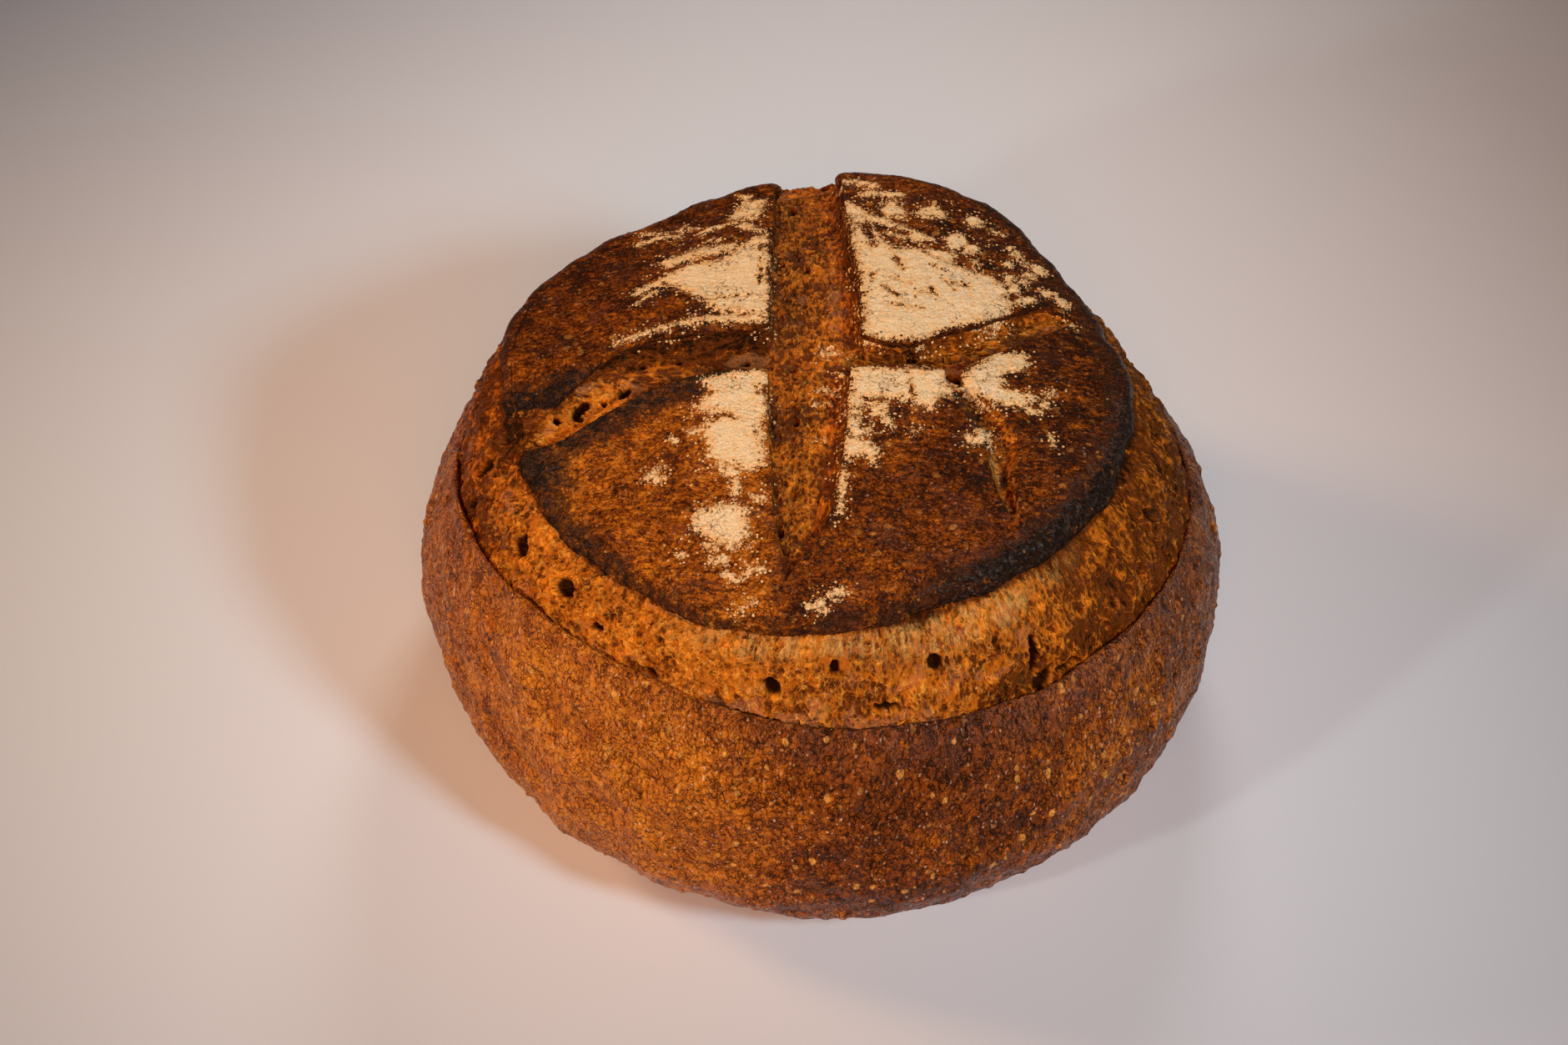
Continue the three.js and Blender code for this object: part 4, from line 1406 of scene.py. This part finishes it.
def lid_fields(x, y, over_edge):
    """What the lid's relief and finish read, at places in plan. `over_edge` is 1 down the sides."""
    angle = np.arctan2(y, x)
    bearing = np.degrees(angle)
    from_rim = around(RIM_RADIUS, angle) - np.hypot(x, y)
    from_cut = nearest(CUT_OUTLINE, x, y, closed=True)[0]
    reach = np.interp(bearing, *zip(*CHAR_REACH))
    shade = across_line(TEAR_SHADE, x, y)
    char = np.maximum.reduce([
        smooth(1.1, -0.1, from_rim / reach) * np.interp(reach, [2.5, 8], [0.3, 0.75]),  # all round the rim
        smooth(6, 1, from_cut) * 0.75 * smooth(-58, -75, x) * (y > -24),  # the mouth of the west cut
        smooth(14, 2, from_cut) * 0.72 * (x < -18) * (y < 0) * (y > -30),  # below the west cut
        smooth(13, 4, np.hypot(x + 84, (y + 13) * 0.8)),  # the flap's tip
        smooth(28, 6, np.hypot(x + 84, y + 33)) * 0.85,  # the rim below the flap's tip
        smooth(1.5, -0.5, from_cut) * over_edge * (x < -16) * (y > -16) * 0.9,  # the flap's rolled edge
        smooth(2.2, 0.3, from_cut) * 0.25,  # the top of every cut edge
        over_edge * (0.3 + 0.5 * smooth(-30, -70, x) * smooth(9, 3, from_rim)),  # every rolled edge
        facing(bearing, -38, 20, 50) * smooth(8, 2, from_rim),  # the rim at the front right
        # Along the tear's left side: a painted shadow, partly burnt crust.
        smooth(1.2, 0.2, shade) * 0.75,  # along the tear
    ])
    bake = LID_BAKE + 0.24 * smooth(20, 60, x) - 0.46 * smooth(0, -10, y) * smooth(-5, -18, x)
    bake += 0.04 * smooth(0, 20, y) * smooth(0, -20, x)
    bake -= 0.30 * smooth(20, 4, y) * smooth(-60, -72, x) + 0.06 * smooth(0, -10, y) * smooth(0, 12, x)
    under_flap = smooth(-10, -16, y) * (x < -70) * (y > -24) * 0.6
    torn = np.maximum(smooth(1.0, 0.2, across_line(TEAR, x, y)), under_flap)
    torn *= 1 - smooth(0.8, 0.2, shade) * 0.7
    crag = facing(bearing, -40, 22, 44) * smooth(10, 5, from_rim) * smooth(2.5, 5, from_cut)
    return {"char": char, "bake": bake, "torn": torn, "hole": holes_at(x, y, TEAR_HOLES), "crag": crag,
            "pale": holes_at(x, y, TEAR_PALE), "flour": flour_reach(x, y) - over_edge * FLOUR_SHED}


# %% Plates with rolled edges
# The rolled edge, row by row: millimetres out and down beside a cut, and tucked in and down below the rim.
CUT_STRIP = [(0.3, 0.12), (0.5, 0.4), (0.58, 0.9), (0.5, 1.8), (0.2, 3.0), (0.0, 4.2), (-0.6, 5.0),
             (-1.5, 5.2), (-2.0, 5.2)]
RIM_TUCK = [(0, 0), (0.8, 0.7), (2.6, 1.1), (4.5, 1.1), (7.0, 0.5)]
RIM_STEPS = len(CUT_STRIP) - len(RIM_TUCK) + 1
CURL_OUT, CURL_DOWN = 3.0, 0.1  # how much further the flap's edge curls
TURN_SMOOTHING, RIM_SMOOTHING = 3, 4  # passes that round off corners in plan


def unit(vectors):
    """Vectors in plan, each brought to a length of 1."""
    return vectors / np.maximum(np.linalg.norm(vectors, axis=1, keepdims=True), 1e-9)


def strip_rows(plan, loop):
    """The rolled edge of a sheet: the points of each row, and where the sheet ends on the rim."""
    x, y = plan[loop].T
    tangent = np.roll(plan[loop], -1, axis=0) - np.roll(plan[loop], 1, axis=0)
    outward = np.stack([tangent[:, 1], -tangent[:, 0]], -1)
    for _ in range(TURN_SMOOTHING):
        outward = unit(outward)
        outward = np.roll(outward, 1, axis=0) + outward + np.roll(outward, -1, axis=0)
    outward = unit(outward)
    angle = np.arctan2(y, x)
    bearing = np.degrees(angle)
    on_the_rim = (np.abs(np.hypot(x, y) - np.hypot(*on_rim(bearing).T)) < 0.05).astype(float)
    for _ in range(RIM_SMOOTHING):
        on_the_rim = (np.roll(on_the_rim, 1) + 2 * on_the_rim + np.roll(on_the_rim, -1)) / 4
    top = lid_height(x, y)
    roll = RIM_ROUNDING * rim_roundness(bearing)
    drop = top - around(RIM_HEIGHT, angle)
    curl = smooth(4.0, 1.0, nearest(west_upper, x, y)[0]) * smooth(-14, -24, x)
    rows = []
    for step, (cut_out, cut_down) in enumerate(CUT_STRIP):
        cut_out = cut_out * (1 + CURL_OUT * curl) if cut_out > 0 else cut_out
        cut_down = cut_down * (1 + CURL_DOWN * curl)
        turn = min((step + 1) / RIM_STEPS, 1.0) * np.pi / 2
        tuck_in, tuck_down = RIM_TUCK[max(step + 1 - RIM_STEPS, 0)]
        rim_out = roll * math.sin(turn) - tuck_in
        rim_down = drop * (1 - math.cos(turn)) + tuck_down
        out = cut_out + (rim_out - cut_out) * on_the_rim
        down = cut_down + (rim_down - cut_down) * on_the_rim
        rows.append(np.column_stack([x + outward[:, 0] * out, y + outward[:, 1] * out, top - down]))
    return rows, on_the_rim


def make_plates(name, grids):
    """Welded plate grids with a rolled edge and a hidden underside."""
    plan, faces = weld(grids)
    loop = border_of(faces)
    rows, on_the_rim = strip_rows(plan, loop)
    count = len(loop)
    points = np.vstack([np.column_stack([plan, lid_height(*plan.T)]), *rows])
    rings = [loop] + [len(plan) + step * count + np.arange(count) for step in range(len(rows))]
    strips = [np.stack([inner, outer, np.roll(outer, -1), np.roll(inner, -1)], -1)
              for inner, outer in zip(rings, rings[1:])]
    under = np.array(tessellate_polygon([[Vector((px, py, 0)) for px, py, _ in rows[-1]]]))[:, ::-1]
    a, b, c = (rows[-1][under[:, corner], :2] for corner in range(3))
    turned = turns_left(b - a, c - a)
    under[turned] = under[turned][:, ::-1]
    over = [np.zeros(len(plan))]
    for step in range(len(rows)):
        cut_share, rim_share = min(1.0, step / 2), min(1.0, max(0, step - 2) / 3)
        over.append(cut_share * (1 - on_the_rim) + on_the_rim * rim_share)
    over = np.concatenate(over)
    hidden = np.concatenate([np.zeros(len(plan)), np.repeat(np.arange(len(rows)) > RIM_STEPS + 1, count)])
    fields = lid_fields(points[:, 0], points[:, 1], over)
    fields["relief"] = (1 - hidden) * (1 - 0.5 * over)
    piece = mesh_piece(name, points, [faces, *strips, under + rings[-1][0]], fields)
    return grow(piece, CRUST_RELIEF, LID_CRUST, **LID_RELIEF)


LID_RELIEF = dict(Lump_size=19.0, Lump_height=1.3, Dimple_size=6.0, Dimple_height=0.35, Grain_height=0.16,
                  Blister_size=4.0, Blister_height=0.3, Streak_height=0.2, Flour_height=0.4, Tear_depth=3.8,
                  Crag_height=1.3)
flap, *joined = (plate_grid(*sides) for sides in plate_sides().values())
lid_flap = make_plates("lid_flap", [flap])
lid_crust = make_plates("lid_crust", joined)

# %% [markdown]
# ## Crumb in the cuts
#
# Under the plates' edges lies the torn crumb of the cuts. It is a square grid in plan that covers the cuts
# and a few millimetres under the crust beside them, dropped to the cuts' floor. Its side and underside
# are hidden in the loaf, so they are as plain as they can be.

# %% Cut crumb
CUT_SPACING = 0.42
CUT_REACH_X, CUT_REACH_Y = (-98, 78), (-82, 98)
CUT_MARGIN, RIM_MARGIN = 3.0, 1.0  # how far the crumb runs on under the crust, and how far inside the rim
CUT_UNDERSIDE = 96.0
# Pores in the cuts: x, y, half-width, half-length and tilt.
CUT_PORES = [
    (-66, -9.5, 1.3, 3.3, -42), (-54.5, -5.0, 1.3, 2.6, -36), (-60, -8, 0.9, 1.0, 0), (-44, -5, 0.9, 1.1, 0),
    (-72.5, -13.5, 1.1, 1.0, 0), (-30, 1, 2.0, 1.6, 0), (-22, 4, 1.6, 1.4, 0), (19, -1, 3.4, 1.5, 10),
    (24, 3.5, 1.8, 1.0, 0), (35.5, -6, 3.8, 5.0, 15), (-10, 12, 1.1, 0.8, 0), (-9, 1, 1.1, 0.9, 0),
    (-12, -59, 0.9, 1.4, 0), (-5, 44, 0.9, 1.4, 0), (0, 24, 1.0, 0.8, 0), (-8, -20, 0.8, 1.2, 0),
    (32, 5, 1.7, 0.8, -15), (42, 10, 1.4, 0.8, 20), (46, 12, 1.2, 0.7, 20), (62, 19, 2.4, 0.6, 15),
    (-12, 47, 0.9, 0.8, 0), (-9, -11, 1.2, 0.8, 0), (1, -14, 0.8, 0.6, 0), (-50, 3, 0.9, 0.8, 0),
    (-40, 4, 0.9, 0.7, 0), (-2, 62, 0.8, 1.1, 0),
]
# Skins left over burst bubbles, measured in the same way.
CUT_FILMS = [(-21.5, 4.5, 6.5, 2.6, 5), (17, -0.5, 4.5, 2.6, 10), (34.5, -0.5, 3.0, 2.0, -20),
             (-6, 30, 1.6, 2.2, 0)]
# The crumb is drawn out across each cut: along x in the long cut, whose middle and half-width these are,
# and along y in the two side cuts.
LONG_CUT_X, LONG_CUT_HALF = -4, 15
CUT_STRETCH = 1.6


def pulled(x, y, floor):
    """Places on the cuts' crumb for patterns, squeezed along the pull."""
    beyond = np.abs(x - LONG_CUT_X) - LONG_CUT_HALF
    pull_x = LONG_CUT_HALF + np.where(beyond > 0, beyond / CUT_STRETCH, beyond)
    pull_y = y * (1 / CUT_STRETCH + (1 - 1 / CUT_STRETCH) * smooth(0, 8, beyond))
    return np.column_stack([np.sign(x - LONG_CUT_X) * pull_x, pull_y, floor])


def cut_toast(x, y, inside):
    """How toasted the crumb in the cuts is."""
    from_upper = nearest(west_upper, x, y)[0]
    toast = 0.80 - 0.86 * smooth(-30, -52, x) * smooth(4, -8, y + (x + 60) * 0.45)
    toast += 0.25 * smooth(3, 0.6, inside)
    toast += 0.2 * smooth(-6, -14, x) * smooth(3.5, 1.5, inside) * (np.abs(y - 3) > 12)
    toast += 0.75 * smooth(9.0, 1.0, from_upper) * smooth(-12, -24, x)
    toast += 0.4 * smooth(14.0, 8.0, from_upper) * smooth(-12, -20, x) * smooth(-56, -44, x)
    toast -= 0.12 * smooth(-2, 4, x) * (y > 16)
    toast += 0.12 * smooth(8, 14, x) * smooth(42, 34, x)
    toast += 0.5 * smooth(6, 1, nearest(north_right, x, y)[0]) * (y > 8)
    return toast + 0.35 * smooth(6, 1, nearest(south_right, x, y)[0])


def make_cut_crumb():
    """The part of a square grid that lies in the cuts, with its relief and a hidden flat underside."""
    columns = np.arange(*CUT_REACH_X, CUT_SPACING)
    lines = np.arange(*CUT_REACH_Y, CUT_SPACING)
    x, y = np.meshgrid(columns, lines, indexing="ij")
    floor, inside = cut_floor(x.ravel(), y.ravel())
    floor, inside = floor.reshape(x.shape), inside.reshape(x.shape)
    limit = around(RIM_RADIUS, np.arctan2(y, x)) - RIM_OVERHANG - RIM_MARGIN
    wanted = (inside > -CUT_MARGIN) & (np.hypot(x, y) < limit)
    cell = wanted[:-1, :-1] & wanted[1:, :-1] & wanted[1:, 1:] & wanted[:-1, 1:]
    number = np.arange(x.size).reshape(x.shape)
    quads = np.stack([number[:-1, :-1], number[1:, :-1], number[1:, 1:], number[:-1, 1:]], -1)[cell]
    used, places = np.unique(quads, return_inverse=True)
    quads = places.reshape(quads.shape)
    x, y, floor, inside = (part.ravel()[used] for part in (x, y, floor, inside))
    count = len(x)
    points = np.vstack([np.column_stack([x, y, floor]), np.column_stack([x, y, 0 * x + CUT_UNDERSIDE])])
    start, end = np.array(open_edges(quads)).T
    sides = np.stack([end, start, start + count, end + count], -1)
    films = holes_at(x, y, CUT_FILMS)
    fields = {"relief": smooth(-1.5, 1.5, inside), "toast": cut_toast(x, y, inside),
              "hole": holes_at(x, y, CUT_PORES), "pale": 0 * x, "skin": films * 0.8,
              "film": smooth(0.0, 0.35, films), "flour": flour_reach(x, y) - 0.5,
              "pull": pulled(x, y, floor) * MM}
    fields = with_hidden(count, fields, flour=NO_FLOUR)
    piece = mesh_piece("cut_crumb", points, [quads, sides, quads[:, ::-1] + count], fields)
    return grow(piece, CRUMB_RELIEF, CRUMB, Swell_height=2.0, Clump_height=2.2, Foam_size=2.2, Foam_depth=0.9,
                Pore_size=5.0, Pore_depth=1.6, Hole_depth=5.5, Flour_height=0.3)


cut_crumb = make_cut_crumb()

# %% [markdown]
# ## The base
#
# The loaf baked on a flat stone, so its base is flat, evenly brown and faintly pitted, with a burnt ring
# where it touched hardest. It is a thin disc that fills the lower crust's foot.

# %% Base crust
BASE_STEPS = 120
BASE_RADIUS = 80.0
BASE_BOTTOM, BASE_TOP = 0.12, 4.0
BURNT_RING_RADIUS = 66


def make_base():
    """A disc made from a square grid, so that its points lie evenly."""
    spans = np.linspace(-1, 1, BASE_STEPS)
    u, v = np.meshgrid(spans, spans, indexing="ij")
    x = u * np.sqrt(1 - v * v / 2) * BASE_RADIUS
    y = v * np.sqrt(1 - u * u / 2) * BASE_RADIUS
    grid = np.stack([x, y], -1)
    quads = grid_faces(grid)
    radius = np.hypot(x, y).ravel()
    count = x.size
    plan = grid.reshape(-1, 2)
    points = np.vstack([np.column_stack([plan, np.full(count, level)]) for level in (BASE_BOTTOM, BASE_TOP)])
    border = border_of(quads)
    following = np.roll(border, -1)
    sides = np.stack([border, following, following + count, border + count], -1)
    ring = smooth(14, 2, np.abs(radius - BURNT_RING_RADIUS))
    fields = {"relief": smooth(BASE_RADIUS, BASE_RADIUS - 4, radius), "bake": 0.45 + 0.2 * ring,
              "char": 0.25 * ring, "smoke_and_sheen": 0.5 * smooth(60, 20, radius)}
    fields = with_hidden(count, fields)
    fields["pull"] = points * MM
    piece = mesh_piece("base_crust", points, [quads[:, ::-1], sides, quads + count], fields)
    return grow(piece, CRUST_RELIEF, BASE_CRUST, Lump_height=0.0, Dimple_height=-0.15, Grain_height=0.05,
                Blister_height=-0.5)


base_crust = make_base()

# %% [markdown]
# ## Loose flour
#
# Round the patches lie loose grains and crumbs of flour. Geometry Nodes scatter them over the lid where
# the mesh says that flour is near, each one a small lump of twenty faces, turned and sized at random from
# a fixed seed. The instances are made real, because the grains are part of the loaf.

# %% Scattered grains
GRAIN_DENSITY = 2.2e6  # grains for each square metre where the flour is thickest
GRAIN_SHAPE = (0.55, 0.5, 0.42)
FULL_TURN = 6.28


def grain_tree():
    """Scatters grains where the kept `flour` says that its edge is near."""
    tree, ports = relief_tree("loose grains", {"Grain width": 0.42, "Sink": 0.05})
    place = add(tree, "GeometryNodeInputPosition")
    reach = kept(tree, "flour")
    near = reach.step(-3.2, -0.2) * reach.step(1.6, 0.2) * kept(tree, "relief")
    drift = noise(tree, place, 0.004).step(0.42, 0.62)
    density = near ** 2.5 * drift * GRAIN_DENSITY
    scatter = {"Mesh": ports["Mesh"], "Density": density, "Seed": 11}
    spots = add(tree, "GeometryNodeDistributePointsOnFaces", scatter, distribute_method="RANDOM")
    lump = add(tree, "GeometryNodeMeshIcoSphere", {"Radius": 1.0, "Subdivisions": 1})
    turns = {"Max": (FULL_TURN,) * 3, "Seed": 3}
    turn = add(tree, "FunctionNodeRandomValue", turns, data_type="FLOAT_VECTOR")
    width = add(tree, "FunctionNodeRandomValue", {2: 0.35, 3: 1.0, "Seed": 5}, out=1, data_type="FLOAT")
    sizes = {0: GRAIN_SHAPE, "Scale": width * ports["Grain width"]}
    size = add(tree, "ShaderNodeVectorMath", sizes, operation="SCALE")
    instances = {"Points": spots, "Instance": lump, "Rotation": turn, "Scale": size}
    return close_tree(tree, add(tree, "GeometryNodeInstanceOnPoints", instances), ports["Finish"])


GRAINS = grain_tree()


def make_loose_flour():
    """Grains over the flap and over the other plates, joined into one piece."""
    parts = [grow(placed(under.name + "_grains", under.data.copy()), GRAINS, LOOSE_FLOUR)
             for under in (lid_flap, lid_crust)]
    with bpy.context.temp_override(active_object=parts[0], selected_editable_objects=parts):
        bpy.ops.object.join()
    parts[0].name = "flour_grains"
    return parts[0]


flour_grains = make_loose_flour()
print("flour_grains:", len(flour_grains.data.polygons), "faces")

# %% [markdown]
# ## Who rides on what
#
# The loaf has one body, and every piece rides on it. Together the pieces stand for the CAD loaf.

# %% Bodies and the CAD node
SLOTS = {wall_crust: "crust", base_crust: "crust", lid_crust: "crust", lid_flap: "crust",
         torn_band: "crumb", cut_crumb: "crumb", flour_grains: "flour"}
for piece, slot in SLOTS.items():
    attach(piece, "root")
    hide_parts("loaf")
print("pieces:", [piece.name for piece in SLOTS])

# %% [markdown]
# ## Floor, light and camera
#
# The loaf stands on a plain pale table. Five soft lamps, each of its own tint, light its sides: a plain
# one from behind, warm ones in front and from the left, a small plain one at the front left, and a cool
# one at the front right.

# %% Floor
FLOOR_REACH = 3.0
TABLE_GREY = (0.74, 0.74, 0.74, 1.0)


def make_floor():
    """A large square that the loaf stands on; it is part of the stage."""
    mesh = bpy.data.meshes.new("floor")
    corners = [(x * FLOOR_REACH, y * FLOOR_REACH, 0) for x, y in ((-1, -1), (1, -1), (1, 1), (-1, 1))]
    mesh.from_pydata(corners, [], [(0, 1, 2, 3)])
    material, _, shader = finish_of("pale_table", roughness=0.8, specular=0.15)
    shader.inputs["Base Color"].default_value = TABLE_GREY
    mesh.materials.append(material)
    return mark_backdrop(placed("floor", mesh))


make_floor()


# %% Lamps
def aim_at(thing, target):
    """Turns a lamp or a camera towards a place."""
    thing.rotation_euler = (Vector(target) - thing.location).to_track_quat("-Z", "Y").to_euler()


def lamp(name, bearing, distance, height, size, spread, watts, tint, aim=(0.0, 0.0, 0.05)):
    """A round soft lamp; `spread` is the angle of its beam in degrees."""
    data = bpy.data.lights.new(name, "AREA")
    data.shape = "DISK"
    data.size = size
    data.spread = math.radians(spread)
    data.energy = watts
    data.color = tint
    holder = placed(name, data)
    angle = math.radians(bearing)
    holder.location = (distance * math.cos(angle), distance * math.sin(angle), height)
    aim_at(holder, aim)


lamp("soft_back", 80, 0.75, 0.60, 0.30, 62, 0.40, (1.0, 0.98, 0.98), aim=(0.0, 0.15, 0.0))
lamp("warm_front", -90, 0.90, 0.75, 0.60, 42, 0.59, (1.0, 0.43, 0.25), aim=(0.0, 0.0, 0.03))
lamp("warm_left", 165, 0.95, 0.60, 0.30, 43, 0.34, (1.0, 0.57, 0.27), aim=(0.0, 0.0, 0.03))
lamp("plain_front_left", 225, 0.86, 0.45, 0.07, 40, 0.12, (0.87, 1.0, 0.96))
lamp("cool_front_right", -47, 1.00, 0.88, 0.22, 34, 0.39, (0.54, 0.83, 1.0), aim=(0.0, 0.0, 0.03))

world = bpy.data.worlds.new("soft_room")
bpy.context.scene.world = world
world.use_nodes = True
background = next(node for node in world.node_tree.nodes if node.type == "BACKGROUND")
background.inputs["Color"].default_value = (1.0, 0.88, 0.85, 1.0)
background.inputs["Strength"].default_value = 0.01

# %% Camera
CAMERA_ELEVATION = 45.0
CAMERA_DISTANCE = 0.8467
CAMERA_TARGET = (np.array([-11.3, 6.75, 50.0]) - CENTRE) * MM
VIEW_ANGLE = 30.0
SENSOR_WIDTH = 36.0
NEAREST_SEEN = 0.01


def make_camera():
    """The camera, in front of the loaf and looking down at it."""
    data = bpy.data.cameras.new("camera")
    data.sensor_width = SENSOR_WIDTH
    data.angle = math.radians(VIEW_ANGLE)
    data.clip_start = NEAREST_SEEN
    camera = placed("camera", data)
    rise = math.radians(CAMERA_ELEVATION)
    target = Vector(CAMERA_TARGET)
    camera.location = target + Vector((0, -math.cos(rise), math.sin(rise))) * CAMERA_DISTANCE
    aim_at(camera, target)
    bpy.context.scene.camera = camera


make_camera()
bpy.context.scene.view_settings.view_transform = "Standard"
